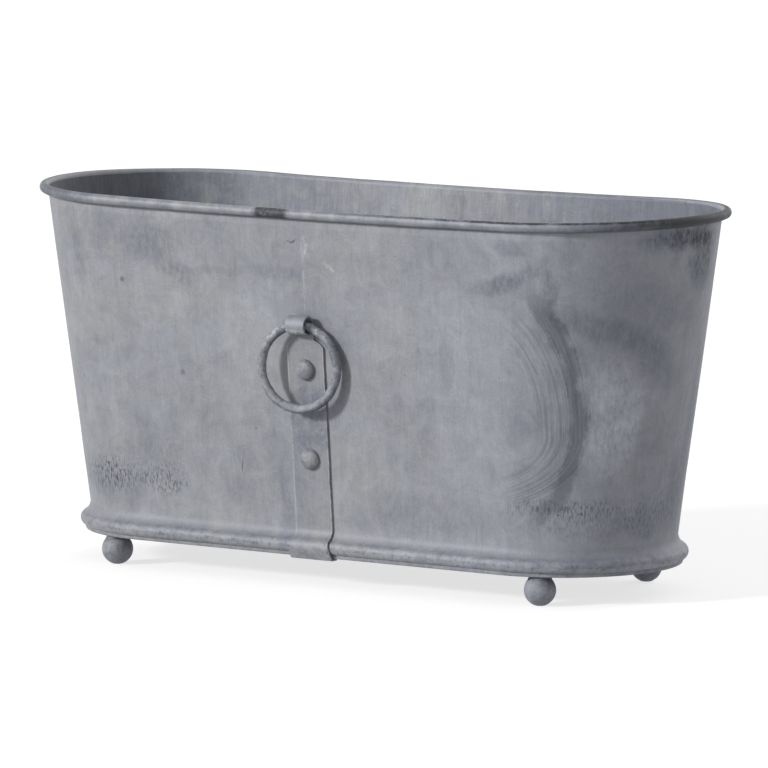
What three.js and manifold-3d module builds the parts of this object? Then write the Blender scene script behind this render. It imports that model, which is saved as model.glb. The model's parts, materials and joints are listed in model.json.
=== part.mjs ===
// An oval sheet-zinc trough planter: rolled rim, base bead, ball feet and a hanging ring on each long side.
// Millimetres, +Z up, the origin on the ground under the middle of the trough, the long side along X.

import * as THREE from 'three';
import { mergeVertices } from 'three/addons/utils/BufferGeometryUtils.js';
import Module from 'manifold-3d';

const wasm = await Module();
wasm.setup();

// ---------------------------------------------------------------- driving dimensions

// Overall form. Lengths and widths are measured over the rolled rim and over the nose of the base bead.
const HEIGHT = 300;
const RIM_LENGTH = 605;
const RIM_WIDTH = 236;
const BASE_LENGTH = 537;
const BASE_WIDTH = 195;
const RIM_DIP = 3.5; // how much lower the rim runs at the middle than at the ends

// Sheet metal.
const SHEET = 0.9;
const SEAT_GAP = 0.3; // between pieces that touch on the real trough
const WIRE_DIAMETER = 4.8;
const ROLL_SLACK = 0.45; // between the rim wire and the sheet rolled round it
const ROLL_END = -130; // degrees round the roll where the sheet's edge stops, close to the wall
const LAP_EDGE = 1; // x of the left sheet's edge, which lies outside the right sheet's tongue
const LAP_WIDTH = 19;
const JOGGLE = 5; // length over which the right sheet steps inwards to make the tongue
const LAP_MARGIN = 3; // the tongue stops this far short of the rim and of the base flare

// Base bead: a hollow cove that turns out from the wall, then a round nose that turns back under.
const NOSE_RADIUS = 5.5;
const NOSE_REACH = 8; // how far the nose stands out from the wall above it
const NOSE_HEIGHT = 31.5; // height of the nose above the ground
const COVE_TURN = 60; // degrees the sheet turns through in the cove
const NOSE_END = -70; // degrees round the nose where the sheet's edge stops

// Floor pan with its turned-down lip.
const PAN_SHEET = 0.9;
const PAN_TOP = 28.7;
const LIP_BOTTOM = 23.2;
const HEM_HEIGHT = 2.6; // the lip's edge is folded back on itself this far
const HEM_ROUND = 0.5;

// Ball feet.
const BALL_RADIUS = 12.4;
const BALL_FLAT = 0.4; // worn off the underside of each ball
const FOOT_X = 199.5;
const FOOT_Y = 76.5;
const COLLAR_RADIUS = 8.2;
const STUD_RADIUS = 3;
const STUD_DEPTH = 12; // how far a stud goes into its ball
const STUD_SHOW = 1.4; // how far it stands out of its nut
const WASHER_RADIUS = 6.5;
const WASHER_THICK = 1.4;
const NUT_FLATS = 10;
const NUT_HEIGHT = 4.8;

// Strap, from its tuck under the base up to the loop that holds the ring.
const STRAP_WIDTH = 34;
const STRAP_THICK = 1.5;
const STRAP_TOP = 194.5; // height of its shoulders, where the tongue starts
const TONGUE_WIDTH = 17;
const LOOP_HEIGHT = 206.5; // height of the middle of the loop's eye
const EYE_RADIUS = 6;
const LOOP_END = -130; // degrees round the loop where the tongue's end stops, close to the strap
const TUCK_WIDTH = 38;
const TUCK_LENGTH = 6;
const TUCK_BEND = 1.2;
const TUCK_TURN = -25; // degrees round the nose where the strap leaves it
const TUCK_SPREAD = 9; // height over which the strap widens to the tuck

// Rivets through strap and lap.
const RIVET_HEIGHTS = { upper: 171, lower: 100.5 };
const RIVET_HEAD_RADIUS = 8.3;
const RIVET_HEAD_HEIGHT = 5.6;
const SHANK_RADIUS = 3;
const TAIL_RADIUS = 4.6;
const TAIL_HEIGHT = 2.2;
const BURR_RADIUS = 7;
const BURR_THICK = 1.2;

// Ring.
const RING_DIAMETER = 72; // over the bar
const BAR_RADIUS = 3.5;
const RING_DROP = 0.5; // how far the bar hangs below the middle of the eye
const RING_TURN = 8; // degrees the ring hangs turned in its loose loop

const DRILL_OVER = 2; // how far a drill runs past the metal on each side

// How finely round forms are divided.
const END_STEPS = 16; // round each half-round end of the trough
const SIDE_STEPS = 5; // along half of a long side
const ROLL_STEPS = 9;
const WIRE_STEPS = 8;
const COVE_STEPS = 3;
const NOSE_STEPS = 5;
const ROUND_STEPS = 20; // round turned parts
const BALL_STEPS = 8; // from the flat of a ball up to its hole
const SEAT_STEPS = 3; // across a collar's hollowed underside
const NUT_SIDES = 6;
const BEND_STEPS = 3; // round the strap's tuck
const WRAP_STEPS = 5; // where the strap lies round the nose
const HOLLOW_STEPS = 4; // where the strap lies in the cove
const LOOP_STEPS = 12;
const RING_STEPS = 32;
const BAR_STEPS = 8;
const DOME_STEPS = 4;
const MERGE_DISTANCE = 1e-4; // points closer than this are one point

// ---------------------------------------------------------------- derived sizes

const rollRadius = WIRE_DIAMETER / 2 + ROLL_SLACK + SHEET;
const rollCentre = rollRadius - SHEET; // how far the roll's centre lies outside the wall's outer face
const rollHeight = HEIGHT - rollRadius;
const coveRadius = (NOSE_REACH - NOSE_RADIUS * (1 - cosine(COVE_TURN))) / (1 - cosine(COVE_TURN));
const flareTop = NOSE_HEIGHT + (NOSE_RADIUS + coveRadius) * sine(COVE_TURN);
const noseCentre = NOSE_REACH - NOSE_RADIUS;
const panReach = noseCentre + (NOSE_RADIUS - SHEET) * cosine(NOSE_END) - SEAT_GAP;
const panUnder = PAN_TOP - PAN_SHEET;
const ballCentre = BALL_RADIUS - BALL_FLAT;
const holeRadius = STUD_RADIUS + SEAT_GAP;

// Half-length and half-width of the wall's outer face, where it meets the roll and where the flare starts.
const wallTop = {
  length: RIM_LENGTH / 2 - rollCentre - rollRadius,
  width: RIM_WIDTH / 2 - rollCentre - rollRadius,
};
const wallFoot = {
  length: BASE_LENGTH / 2 - NOSE_REACH,
  width: BASE_WIDTH / 2 - NOSE_REACH,
};
const wallLean = Math.atan2(wallTop.width - wallFoot.width, rollHeight - RIM_DIP - flareTop);

// ---------------------------------------------------------------- small helpers

function cosine(degrees) {
  return Math.cos(THREE.MathUtils.degToRad(degrees));
}

function sine(degrees) {
  return Math.sin(THREE.MathUtils.degToRad(degrees));
}

// Points on an arc, as [across, up] pairs, from one angle in degrees to another.
function arc(across, up, radius, from, to, steps) {
  const points = [];
  for (let i = 0; i <= steps; i++) {
    const angle = from + ((to - from) * i) / steps;
    points.push([across + radius * cosine(angle), up + radius * sine(angle)]);
  }
  return points;
}

function shapeOf(points) {
  return new THREE.Shape(points.map(([x, y]) => new THREE.Vector2(x, y)));
}

// A closed three.js geometry as a solid that can be joined and cut.
function solidOf(geometry) {
  const bare = geometry.clone();
  bare.deleteAttribute('normal');
  bare.deleteAttribute('uv');
  const merged = mergeVertices(bare, MERGE_DISTANCE);
  const mesh = new wasm.Mesh({
    numProp: 3,
    vertProperties: new Float32Array(merged.attributes.position.array),
    triVerts: new Uint32Array(merged.index.array),
  });
  return new wasm.Manifold(mesh);
}

function geometryOf(solid) {
  const mesh = solid.getMesh();
  const geometry = new THREE.BufferGeometry();
  geometry.setAttribute('position', new THREE.BufferAttribute(new Float32Array(mesh.vertProperties), 3));
  geometry.setIndex(new THREE.BufferAttribute(new Uint32Array(mesh.triVerts), 1));
  geometry.computeVertexNormals();
  return geometry;
}

function cut(geometry, tools) {
  let solid = solidOf(geometry);
  for (const tool of tools) {
    solid = solid.subtract(solidOf(tool));
  }
  return geometryOf(solid);
}

// Turns a closed surface's faces outwards where its triangles run the other way round.
function facingOut(geometry) {
  const index = geometry.index.array;
  const corner = (i) => new THREE.Vector3().fromBufferAttribute(geometry.attributes.position, index[i]);
  let volume = 0;
  for (let i = 0; i < index.length; i += 3) {
    volume += corner(i).dot(corner(i + 1).cross(corner(i + 2)));
  }
  if (volume < 0) {
    geometry.setIndex(Array.from(index).reverse());
  }
  geometry.computeVertexNormals();
  return geometry;
}

// A closed surface from a list of points and triangles.
function closedGeometry(points, triangles) {
  const geometry = new THREE.BufferGeometry();
  geometry.setFromPoints(points);
  geometry.setIndex(triangles.flat());
  return facingOut(geometry);
}

// Turned parts: an [out, up] profile that starts and ends on the axis or closes on itself, with +Z up.
function turned(profile) {
  const points = profile.map(([out, up]) => new THREE.Vector2(out, up));
  const geometry = new THREE.LatheGeometry(points, ROUND_STEPS);
  geometry.rotateX(Math.PI / 2);
  return facingOut(geometry);
}

// ---------------------------------------------------------------- the trough's oval plan

// A station is a place on the oval: `along` runs -1 to 1 on the long sides, `angle` turns round the ends.
function sideStations(fromAlong, toAlong, angle, steps) {
  const stations = [];
  for (let i = 0; i <= steps; i++) {
    stations.push({ along: fromAlong + ((toAlong - fromAlong) * i) / steps, angle });
  }
  return stations;
}

function endStations(along, fromAngle) {
  const stations = [];
  for (let i = 1; i < END_STEPS; i++) {
    stations.push({ along, angle: fromAngle + (180 * i) / END_STEPS });
  }
  return stations;
}

// Where a station lies on an oval of this half-length and half-width.
function planPoint(station, length, width) {
  const x = station.along * (length - width) + width * cosine(station.angle);
  const y = width * sine(station.angle);
  return { x, y };
}

// The wall's half-length and half-width at a height, kept constant within the roll and the base flare.
function wallAt(height) {
  const clamped = THREE.MathUtils.clamp(height, flareTop, rollHeight);
  const share = (clamped - flareTop) / (rollHeight - flareTop);
  return {
    length: THREE.MathUtils.lerp(wallFoot.length, wallTop.length, share),
    width: THREE.MathUtils.lerp(wallFoot.width, wallTop.width, share),
    share,
  };
}

// A section point stands `out` from the wall's outer face, as the wall is at height `wall`, at height `up`.
function sectionPoint(station, { wall, out, up }) {
  const size = wallAt(wall);
  const { x, y } = planPoint(station, size.length + out, size.width + out);
  const dip = RIM_DIP * size.share * Math.max(0, 1 - (x / (size.length + out)) ** 2);
  return new THREE.Vector3(x, y, up - dip);
}

// Sweeps a closed section along stations; the ends are capped, or joined when the stations close a loop.
function sweptSheet(stations, section, loops) {
  const points = [];
  const triangles = [];
  const count = section.length;
  for (const station of stations) {
    for (const place of section) {
      points.push(sectionPoint(station, place));
    }
  }
  const strips = loops ? stations.length : stations.length - 1;
  for (let s = 0; s < strips; s++) {
    const here = s * count;
    const next = ((s + 1) % stations.length) * count;
    for (let i = 0; i < count; i++) {
      const j = (i + 1) % count;
      triangles.push([here + i, next + i, next + j], [here + i, next + j, here + j]);
    }
  }
  if (!loops) {
    const outline = section.map(({ out, up }) => new THREE.Vector2(out, up));
    const clockwise = THREE.ShapeUtils.isClockWise(outline);
    const last = (stations.length - 1) * count;
    for (const face of THREE.ShapeUtils.triangulateShape(outline, [])) {
      const [a, b, c] = clockwise ? face.reverse() : face;
      triangles.push([a, b, c], [last + a, last + c, last + b]);
    }
  }
  return closedGeometry(points, triangles);
}

// A full loop of stations round the oval.
function ovalStations() {
  const right = sideStations(-1, 1, -90, 2 * SIDE_STEPS);
  const left = sideStations(1, -1, 90, 2 * SIDE_STEPS);
  return [...right, ...endStations(1, -90), ...left, ...endStations(-1, 90)];
}

// A solid of oval plan: the profile's first and last points are closed over with flat faces.
function ovalSolid(profile) {
  const stations = ovalStations();
  const points = profile.flatMap((place) => stations.map((station) => sectionPoint(station, place)));
  const count = stations.length;
  const triangles = [];
  for (let ring = 0; ring + 1 < profile.length; ring++) {
    for (let s = 0; s < count; s++) {
      const a = ring * count + s;
      const b = ring * count + ((s + 1) % count);
      triangles.push([a, b, b + count], [a, b + count, a + count]);
    }
  }
  const last = (profile.length - 1) * count;
  for (let s = 1; s + 1 < count; s++) {
    triangles.push([0, s + 1, s], [last, last + s, last + s + 1]);
  }
  return closedGeometry(points, triangles);
}

// ---------------------------------------------------------------- walls

// The sheet's section: rolled rim, sloping wall and flared base, outer face first and inner face back up.
function wallSection() {
  const on = (wall) => ([out, up]) => ({ wall, out, up });
  const face = (roll, cove, nose) => [
    ...arc(rollCentre, rollHeight, roll, ROLL_END, 180, ROLL_STEPS).map(on(rollHeight)),
    ...arc(coveRadius, flareTop, cove, 180, 180 + COVE_TURN, COVE_STEPS).map(on(flareTop)),
    ...arc(noseCentre, NOSE_HEIGHT, nose, COVE_TURN, NOSE_END, NOSE_STEPS).slice(1).map(on(flareTop)),
  ];
  const outer = face(rollRadius - SHEET, coveRadius, NOSE_RADIUS);
  const inner = face(rollRadius, coveRadius + SHEET, NOSE_RADIUS - SHEET);
  return [...outer, ...inner.reverse()];
}

// The share of a long side's straight run that lies at this x.
function alongAt(x) {
  return x / (wallFoot.length - wallFoot.width);
}

// Stations of a half wall, from its front edge round its end to its back edge, `hand` -1 left or 1 right.
function halfStations(hand, edge) {
  const front = sideStations(alongAt(edge), hand, -90, SIDE_STEPS);
  const end = endStations(hand, hand > 0 ? -90 : 90);
  const back = sideStations(hand, alongAt(edge), 90, SIDE_STEPS);
  return [...front, ...(hand > 0 ? end : end.reverse()), ...back];
}

// The tongue that the right sheet slides behind the left one, on the front (-1) or the back (1).
function lapTongue(face) {
  const stepIn = SHEET + SEAT_GAP;
  const low = flareTop + LAP_MARGIN;
  const high = rollHeight - LAP_MARGIN;
  const root = LAP_EDGE + SEAT_GAP;
  const cuts = [
    { x: LAP_EDGE - LAP_WIDTH, inward: stepIn },
    { x: root, inward: stepIn },
    { x: root + JOGGLE, inward: SHEET / 2 },
  ];
  const points = [];
  for (const { x, inward } of cuts) {
    const corners = [[low, 0], [high, 0], [high, SHEET], [low, SHEET]];
    for (const [height, depth] of corners) {
      const size = wallAt(height);
      const y = size.width - inward - depth;
      points.push(new THREE.Vector3(x, face * y, height - RIM_DIP * size.share));
    }
  }
  const triangles = [[0, 1, 2], [0, 2, 3], [8, 10, 9], [8, 11, 10]];
  for (const row of [0, 4]) {
    for (let i = 0; i < 4; i++) {
      const j = (i + 1) % 4;
      triangles.push([row + i, row + i + 4, row + j + 4], [row + i, row + j + 4, row + j]);
    }
  }
  return closedGeometry(points, triangles);
}

function leftWall() {
  const sheet = sweptSheet(halfStations(-1, LAP_EDGE), wallSection(), false);
  return cut(sheet, rivetHoles());
}

function rightWall() {
  const sheet = sweptSheet(halfStations(1, LAP_EDGE + SEAT_GAP), wallSection(), false);
  const tongues = [lapTongue(-1), lapTongue(1)];
  const joined = tongues.reduce((solid, tongue) => solid.add(solidOf(tongue)), solidOf(sheet));
  return cut(geometryOf(joined), rivetHoles());
}

function rimWire() {
  const section = arc(rollCentre, rollHeight, WIRE_DIAMETER / 2, 0, 360, WIRE_STEPS).slice(1);
  const places = section.map(([out, up]) => ({ wall: rollHeight, out, up }));
  return sweptSheet(ovalStations(), places, true);
}

// ---------------------------------------------------------------- floor and feet

function floorPan() {
  const inside = panReach - PAN_SHEET;
  const hemInside = inside - PAN_SHEET;
  const hemTop = LIP_BOTTOM + HEM_HEIGHT;
  const profile = [
    [panReach, PAN_TOP],
    [panReach, LIP_BOTTOM + HEM_ROUND],
    [panReach - HEM_ROUND, LIP_BOTTOM],
    [hemInside + HEM_ROUND, LIP_BOTTOM],
    [hemInside, LIP_BOTTOM + HEM_ROUND],
    [hemInside, hemTop],
    [inside, hemTop],
    [inside, panUnder],
  ];
  const pan = ovalSolid(profile.map(([out, up]) => ({ wall: flareTop, out, up })));
  const holes = footPlaces().map(({ x, y }) => {
    const reach = PAN_SHEET + 2 * DRILL_OVER;
    const hole = new THREE.CylinderGeometry(holeRadius, holeRadius, reach, ROUND_STEPS);
    hole.rotateX(Math.PI / 2);
    hole.translate(x, y, PAN_TOP - PAN_SHEET / 2);
    return hole;
  });
  return cut(pan, holes);
}

function footPlaces() {
  return [
    { name: 'front_left', x: -FOOT_X, y: -FOOT_Y },
    { name: 'front_right', x: FOOT_X, y: -FOOT_Y },
    { name: 'back_left', x: -FOOT_X, y: FOOT_Y },
    { name: 'back_right', x: FOOT_X, y: FOOT_Y },
  ];
}

// A ball with a worn flat underneath and a blind hole for its stud.
function footBall() {
  const flatAngle = -THREE.MathUtils.radToDeg(Math.asin(ballCentre / BALL_RADIUS));
  const holeAngle = THREE.MathUtils.radToDeg(Math.acos(holeRadius / BALL_RADIUS));
  const ballTop = ballCentre + BALL_RADIUS;
  return turned([
    [0, 0],
    ...arc(0, ballCentre, BALL_RADIUS, flatAngle, holeAngle, BALL_STEPS),
    [holeRadius, ballTop - STUD_DEPTH - SEAT_GAP],
    [0, ballTop - STUD_DEPTH - SEAT_GAP],
  ]);
}

// A collar whose underside is hollowed to sit on its ball.
function footCollar() {
  const seat = BALL_RADIUS + SEAT_GAP;
  const outerAngle = THREE.MathUtils.radToDeg(Math.acos(COLLAR_RADIUS / seat));
  const innerAngle = THREE.MathUtils.radToDeg(Math.acos(holeRadius / seat));
  const top = panUnder - SEAT_GAP;
  const hollow = arc(0, ballCentre, seat, outerAngle, innerAngle, SEAT_STEPS);
  return turned([...hollow, [holeRadius, top], [COLLAR_RADIUS, top], hollow[0]]);
}

function footStud() {
  const bottom = ballCentre + BALL_RADIUS - STUD_DEPTH;
  const top = PAN_TOP + WASHER_THICK + NUT_HEIGHT + 2 * SEAT_GAP + STUD_SHOW;
  const stud = new THREE.CylinderGeometry(STUD_RADIUS, STUD_RADIUS, top - bottom, ROUND_STEPS / 2);
  stud.rotateX(Math.PI / 2);
  stud.translate(0, 0, (top + bottom) / 2);
  return stud;
}

// A flat piece of this outline with a round hole through it, lying at a height.
function drilledPlate(outline, hole, bottom, thick) {
  const shape = shapeOf(outline);
  shape.holes.push(shapeOf(arc(0, 0, hole, 360, 0, ROUND_STEPS).slice(1)));
  const plate = new THREE.ExtrudeGeometry(shape, { depth: thick, bevelEnabled: false });
  plate.translate(0, 0, bottom);
  return plate;
}

function flatRing(hole, radius, bottom, thick) {
  return drilledPlate(arc(0, 0, radius, 0, 360, ROUND_STEPS).slice(1), hole, bottom, thick);
}

function footWasher() {
  return flatRing(holeRadius, WASHER_RADIUS, PAN_TOP + SEAT_GAP, WASHER_THICK);
}

function footNut() {
  const bottom = PAN_TOP + WASHER_THICK + 2 * SEAT_GAP;
  const corner = NUT_FLATS / 2 / cosine(180 / NUT_SIDES);
  return drilledPlate(arc(0, 0, corner, 0, 360, NUT_SIDES).slice(1), holeRadius, bottom, NUT_HEIGHT);
}

// ---------------------------------------------------------------- strap, rivets and ring (front side)

// Distance from the trough's middle plane to the wall's outer face, at the middle of the long side.
function sideFace(height) {
  const share = (height - flareTop) / (rollHeight - RIM_DIP - flareTop);
  return THREE.MathUtils.lerp(wallFoot.width, wallTop.width, share);
}

const eyeCentre = sideFace(LOOP_HEIGHT) + SEAT_GAP + STRAP_THICK + EYE_RADIUS;

// One face of the strap, standing `off` from the metal it lies on, from its tuck up to its loop.
function strapFace(off, loopRadius) {
  const nose = wallFoot.width + noseCentre;
  const noseWrap = NOSE_RADIUS + SEAT_GAP;
  const tuckUp = LIP_BOTTOM - SEAT_GAP + TUCK_BEND;
  const lead = noseWrap - TUCK_BEND;
  const run = (NOSE_HEIGHT + lead * sine(TUCK_TURN) - tuckUp) / cosine(TUCK_TURN);
  const tuckOut = nose + lead * cosine(TUCK_TURN) + run * sine(TUCK_TURN);
  const cove = wallFoot.width + coveRadius;
  return [
    [tuckOut - TUCK_LENGTH, tuckUp - TUCK_BEND - off],
    ...arc(tuckOut, tuckUp, TUCK_BEND + off, -90, TUCK_TURN, BEND_STEPS),
    ...arc(nose, NOSE_HEIGHT, noseWrap + off, TUCK_TURN, COVE_TURN, WRAP_STEPS),
    ...arc(cove, flareTop, coveRadius - SEAT_GAP - off, 180 + COVE_TURN, 180, HOLLOW_STEPS).slice(1),
    ...arc(eyeCentre, LOOP_HEIGHT, loopRadius, 180, LOOP_END, LOOP_STEPS),
  ];
}

// The strap is folded from flat sheet: its side view is pulled through its width, then trimmed to outline.
function strap() {
  const back = strapFace(0, EYE_RADIUS + STRAP_THICK);
  const front = strapFace(STRAP_THICK, EYE_RADIUS);
  const side = shapeOf([...back, ...front.reverse()]);
  const folded = new THREE.ExtrudeGeometry(side, { depth: TUCK_WIDTH, bevelEnabled: false });
  folded.translate(0, 0, -TUCK_WIDTH / 2);
  folded.rotateX(Math.PI / 2);
  folded.rotateZ(-Math.PI / 2);
  const outline = strapOutline();
  return geometryOf(rivetHoles().reduce(
    (solid, hole) => solid.subtract(solidOf(hole)),
    solidOf(folded).intersect(solidOf(outline)),
  ));
}

// The strap seen from the front: tongue, shoulders, long body and the wider tuck at its foot.
function strapOutline() {
  const over = 2 * (EYE_RADIUS + STRAP_THICK);
  const spreadTop = NOSE_HEIGHT + TUCK_SPREAD / 2;
  const right = [
    [TUCK_WIDTH / 2, 0],
    [TUCK_WIDTH / 2, spreadTop - TUCK_SPREAD],
    [STRAP_WIDTH / 2, spreadTop],
    [STRAP_WIDTH / 2, STRAP_TOP],
    [TONGUE_WIDTH / 2, STRAP_TOP],
    [TONGUE_WIDTH / 2, LOOP_HEIGHT + over],
  ];
  const left = right.map(([x, up]) => [-x, up]).reverse();
  const depth = eyeCentre + over;
  const outline = new THREE.ExtrudeGeometry(shapeOf([...right, ...left]), { depth, bevelEnabled: false });
  outline.rotateX(Math.PI / 2);
  return outline;
}

// Puts a turned part, made along +Z from the wall's outer face, square on the front wall at a height.
function squareOnWall(geometry, height) {
  geometry.rotateX(Math.PI / 2 + wallLean);
  geometry.translate(0, -sideFace(height), height);
  return geometry;
}

// Drills for the rivets, front and back.
function rivetHoles() {
  const radius = SHANK_RADIUS + SEAT_GAP;
  const reach = Math.max(headSeat, lapDepth) + DRILL_OVER;
  const drill = () => {
    const hole = new THREE.CylinderGeometry(radius, radius, 2 * reach, ROUND_STEPS / 2);
    hole.rotateX(Math.PI / 2);
    return hole;
  };
  const front = Object.values(RIVET_HEIGHTS).map((height) => squareOnWall(drill(), height));
  const back = front.map((hole) => hole.clone().rotateZ(Math.PI));
  return [...front, ...back];
}

const headSeat = STRAP_THICK + 2 * SEAT_GAP; // from the wall's outer face out to the underside of a head
const lapDepth = 2 * SHEET + SEAT_GAP; // from the wall's outer face in to the tongue's inner face
const burrSeat = lapDepth + SEAT_GAP;
const tailSeat = burrSeat + BURR_THICK + SEAT_GAP;

// A dome's profile: a shallow cap of this radius and height, from its rim to its crown.
function dome(radius, height, base, sign) {
  const sphere = (radius * radius + height * height) / (2 * height);
  const start = THREE.MathUtils.radToDeg(Math.asin((sphere - height) / sphere));
  const cap = arc(0, height - sphere, sphere, start, 90, DOME_STEPS);
  return cap.map(([out, up], i) => [i === DOME_STEPS ? 0 : out, base + sign * up]);
}

function rivet() {
  const head = dome(RIVET_HEAD_RADIUS, RIVET_HEAD_HEIGHT, headSeat, 1);
  const tail = dome(TAIL_RADIUS, TAIL_HEIGHT, -tailSeat, -1);
  return turned([...tail.reverse(), [SHANK_RADIUS, -tailSeat], [SHANK_RADIUS, headSeat], ...head]);
}

function burr() {
  return flatRing(SHANK_RADIUS + SEAT_GAP, BURR_RADIUS, -burrSeat - BURR_THICK, BURR_THICK);
}

// The ring hangs plumb from the eye, turned a little to one side in the loose loop.
function ring() {
  const centreRadius = RING_DIAMETER / 2 - BAR_RADIUS;
  const bar = new THREE.TorusGeometry(centreRadius, BAR_RADIUS, BAR_STEPS, RING_STEPS);
  bar.rotateX(Math.PI / 2);
  bar.rotateZ(THREE.MathUtils.degToRad(RING_TURN));
  bar.translate(0, -eyeCentre, LOOP_HEIGHT - RING_DROP - centreRadius);
  return bar;
}

// ---------------------------------------------------------------- materials and assembly

function zinc(color, roughness) {
  return new THREE.MeshStandardMaterial({ color, roughness, metalness: 0.6 });
}

const agedZinc = zinc(0x8d9094, 0.62);
const strapZinc = zinc(0x86898d, 0.58);
const darkZinc = zinc(0x6f7276, 0.66);
const forgedIron = zinc(0x7c7f83, 0.55);
const steel = zinc(0x9a9c9e, 0.4);

const planter = new THREE.Group();

function place(parent, name, geometry, material, x = 0, y = 0) {
  const mesh = new THREE.Mesh(geometry, material);
  mesh.name = name;
  mesh.position.set(x, y, 0);
  parent.add(mesh);
}

place(planter, 'wall_left', leftWall(), agedZinc);
place(planter, 'wall_right', rightWall(), agedZinc);
place(planter, 'rim_wire', rimWire(), steel);
place(planter, 'floor_pan', floorPan(), darkZinc);

for (const { name, x, y } of footPlaces()) {
  place(planter, `foot_ball_${name}`, footBall(), darkZinc, x, y);
  place(planter, `foot_collar_${name}`, footCollar(), darkZinc, x, y);
  place(planter, `foot_stud_${name}`, footStud(), steel, x, y);
  place(planter, `foot_washer_${name}`, footWasher(), steel, x, y);
  place(planter, `foot_nut_${name}`, footNut(), steel, x, y);
}

// The back fitting is the front one turned half round.
for (const [face, turn] of [['front', 0], ['back', Math.PI]]) {
  const fitting = new THREE.Group();
  fitting.rotation.z = turn;
  place(fitting, `${face}_strap`, strap(), strapZinc);
  place(fitting, `${face}_ring`, ring(), forgedIron);
  for (const [level, height] of Object.entries(RIVET_HEIGHTS)) {
    place(fitting, `${face}_rivet_${level}`, squareOnWall(rivet(), height), strapZinc);
    place(fitting, `${face}_burr_${level}`, squareOnWall(burr(), height), steel);
  }
  planter.add(fitting);
}

export default planter;
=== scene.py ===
# %% [markdown]
# # An oval zinc trough planter
#
# The planter is sheet zinc, bent and riveted by hand: two walls that lap at front and back, a rim rolled
# round a wire, a rounded bead at the base, a floor pan, four ball feet, and on each long side a strap whose
# tongue is folded round an iron ring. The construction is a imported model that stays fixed. This lesson
# makes a fine surface for each of its pieces, in the same place, and gives each its aged finish.

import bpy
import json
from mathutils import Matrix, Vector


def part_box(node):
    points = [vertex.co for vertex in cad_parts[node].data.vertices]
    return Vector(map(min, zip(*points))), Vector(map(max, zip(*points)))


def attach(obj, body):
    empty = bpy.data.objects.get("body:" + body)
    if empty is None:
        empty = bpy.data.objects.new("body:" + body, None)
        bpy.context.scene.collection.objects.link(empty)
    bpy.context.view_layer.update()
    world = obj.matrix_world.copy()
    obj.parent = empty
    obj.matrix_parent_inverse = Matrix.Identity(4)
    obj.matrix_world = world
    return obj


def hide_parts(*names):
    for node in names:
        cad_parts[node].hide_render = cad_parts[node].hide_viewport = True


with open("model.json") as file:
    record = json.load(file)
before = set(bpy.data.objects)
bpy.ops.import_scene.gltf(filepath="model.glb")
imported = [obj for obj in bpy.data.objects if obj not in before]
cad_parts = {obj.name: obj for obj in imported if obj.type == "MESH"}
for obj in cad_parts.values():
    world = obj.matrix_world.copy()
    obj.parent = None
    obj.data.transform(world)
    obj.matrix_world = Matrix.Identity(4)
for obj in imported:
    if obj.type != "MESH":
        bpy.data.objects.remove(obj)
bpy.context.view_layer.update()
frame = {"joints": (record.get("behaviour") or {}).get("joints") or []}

# %% Libraries and units
import json
import math

import bmesh
import bpy
from mathutils import Matrix, Vector, noise

MM = 0.001
scene = bpy.context.scene


def cosine(degrees):
    return math.cos(math.radians(degrees))


def sine(degrees):
    return math.sin(math.radians(degrees))


# %% [markdown]
# ## Camera
#
# The camera stands far off with a long lens, a little above the rim and well round to the right, so the
# long front is seen at a slant. A long lens keeps the rim's far side almost as long as its near side. The
# camera is aimed a few millimetres beside the trough's middle, which frames it without any lens shift.

# %% Place the camera
VIEW_AZIMUTH = 34
VIEW_ELEVATION = 7.02
VIEW_DISTANCE = 6.22
FRAME_PIXELS = 768
FOCAL_PIXELS = 7920
SENSOR = 36
FAR_CLIP = 60
LOOK_HEIGHT = 0.15
MIDDLE_PIXEL = (379.9, 383.1)  # where the trough's middle, at LOOK_HEIGHT, falls in the frame

level_reach = cosine(VIEW_ELEVATION)
back = Vector((sine(VIEW_AZIMUTH) * level_reach, -cosine(VIEW_AZIMUTH) * level_reach, sine(VIEW_ELEVATION)))
right = Vector((cosine(VIEW_AZIMUTH), sine(VIEW_AZIMUTH), 0))
up = back.cross(right)
pixel = VIEW_DISTANCE / FOCAL_PIXELS
aim = (Vector((0, 0, LOOK_HEIGHT)) + right * (FRAME_PIXELS / 2 - MIDDLE_PIXEL[0]) * pixel
       - up * (FRAME_PIXELS / 2 - MIDDLE_PIXEL[1]) * pixel)

lens = bpy.data.cameras.new("view")
lens.sensor_width = SENSOR
lens.lens = FOCAL_PIXELS / FRAME_PIXELS * SENSOR
lens.clip_end = FAR_CLIP
camera = bpy.data.objects.new("view", lens)
camera.matrix_world = Matrix.Translation(aim + back * VIEW_DISTANCE) @ Matrix(
    (right, up, back)).transposed().to_4x4()
scene.collection.objects.link(camera)
scene.camera = camera
scene.view_settings.view_transform = "Standard"
print("camera at", tuple(round(c, 3) for c in camera.location), "lens", round(lens.lens, 1))

# %% [markdown]
# ## Nodes that read as formulas
#
# The finishes and most shapes below are node trees. A Wire stands for one output of a node, and the signs
# of arithmetic work on it: a * b adds a Math node that multiplies, and gives the wire that leaves it. So a
# tree reads as a formula. A few helpers add the other nodes. An input is either a plain value or a wire.

# %% Wires and node helpers
class Wire:
    def __init__(self, socket):
        self.socket = socket
        self.tree = socket.id_data

    def __add__(self, other):
        return maths("ADD", self, other)

    def __sub__(self, other):
        return maths("SUBTRACT", self, other)

    def __rsub__(self, other):
        return maths("SUBTRACT", other, self)

    def __mul__(self, other):
        return maths("MULTIPLY", self, other)

    def __truediv__(self, other):
        return maths("DIVIDE", self, other)


def put(socket, value):
    if isinstance(value, Wire):
        value.tree.links.new(value.socket, socket)
    else:
        socket.default_value = value


def node(tree, kind, inputs=None, **settings):
    made = tree.nodes.new(kind)
    for name, value in settings.items():
        setattr(made, name, value)
    for name, value in (inputs or {}).items():
        put(made.inputs[name], value)
    return made


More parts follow.
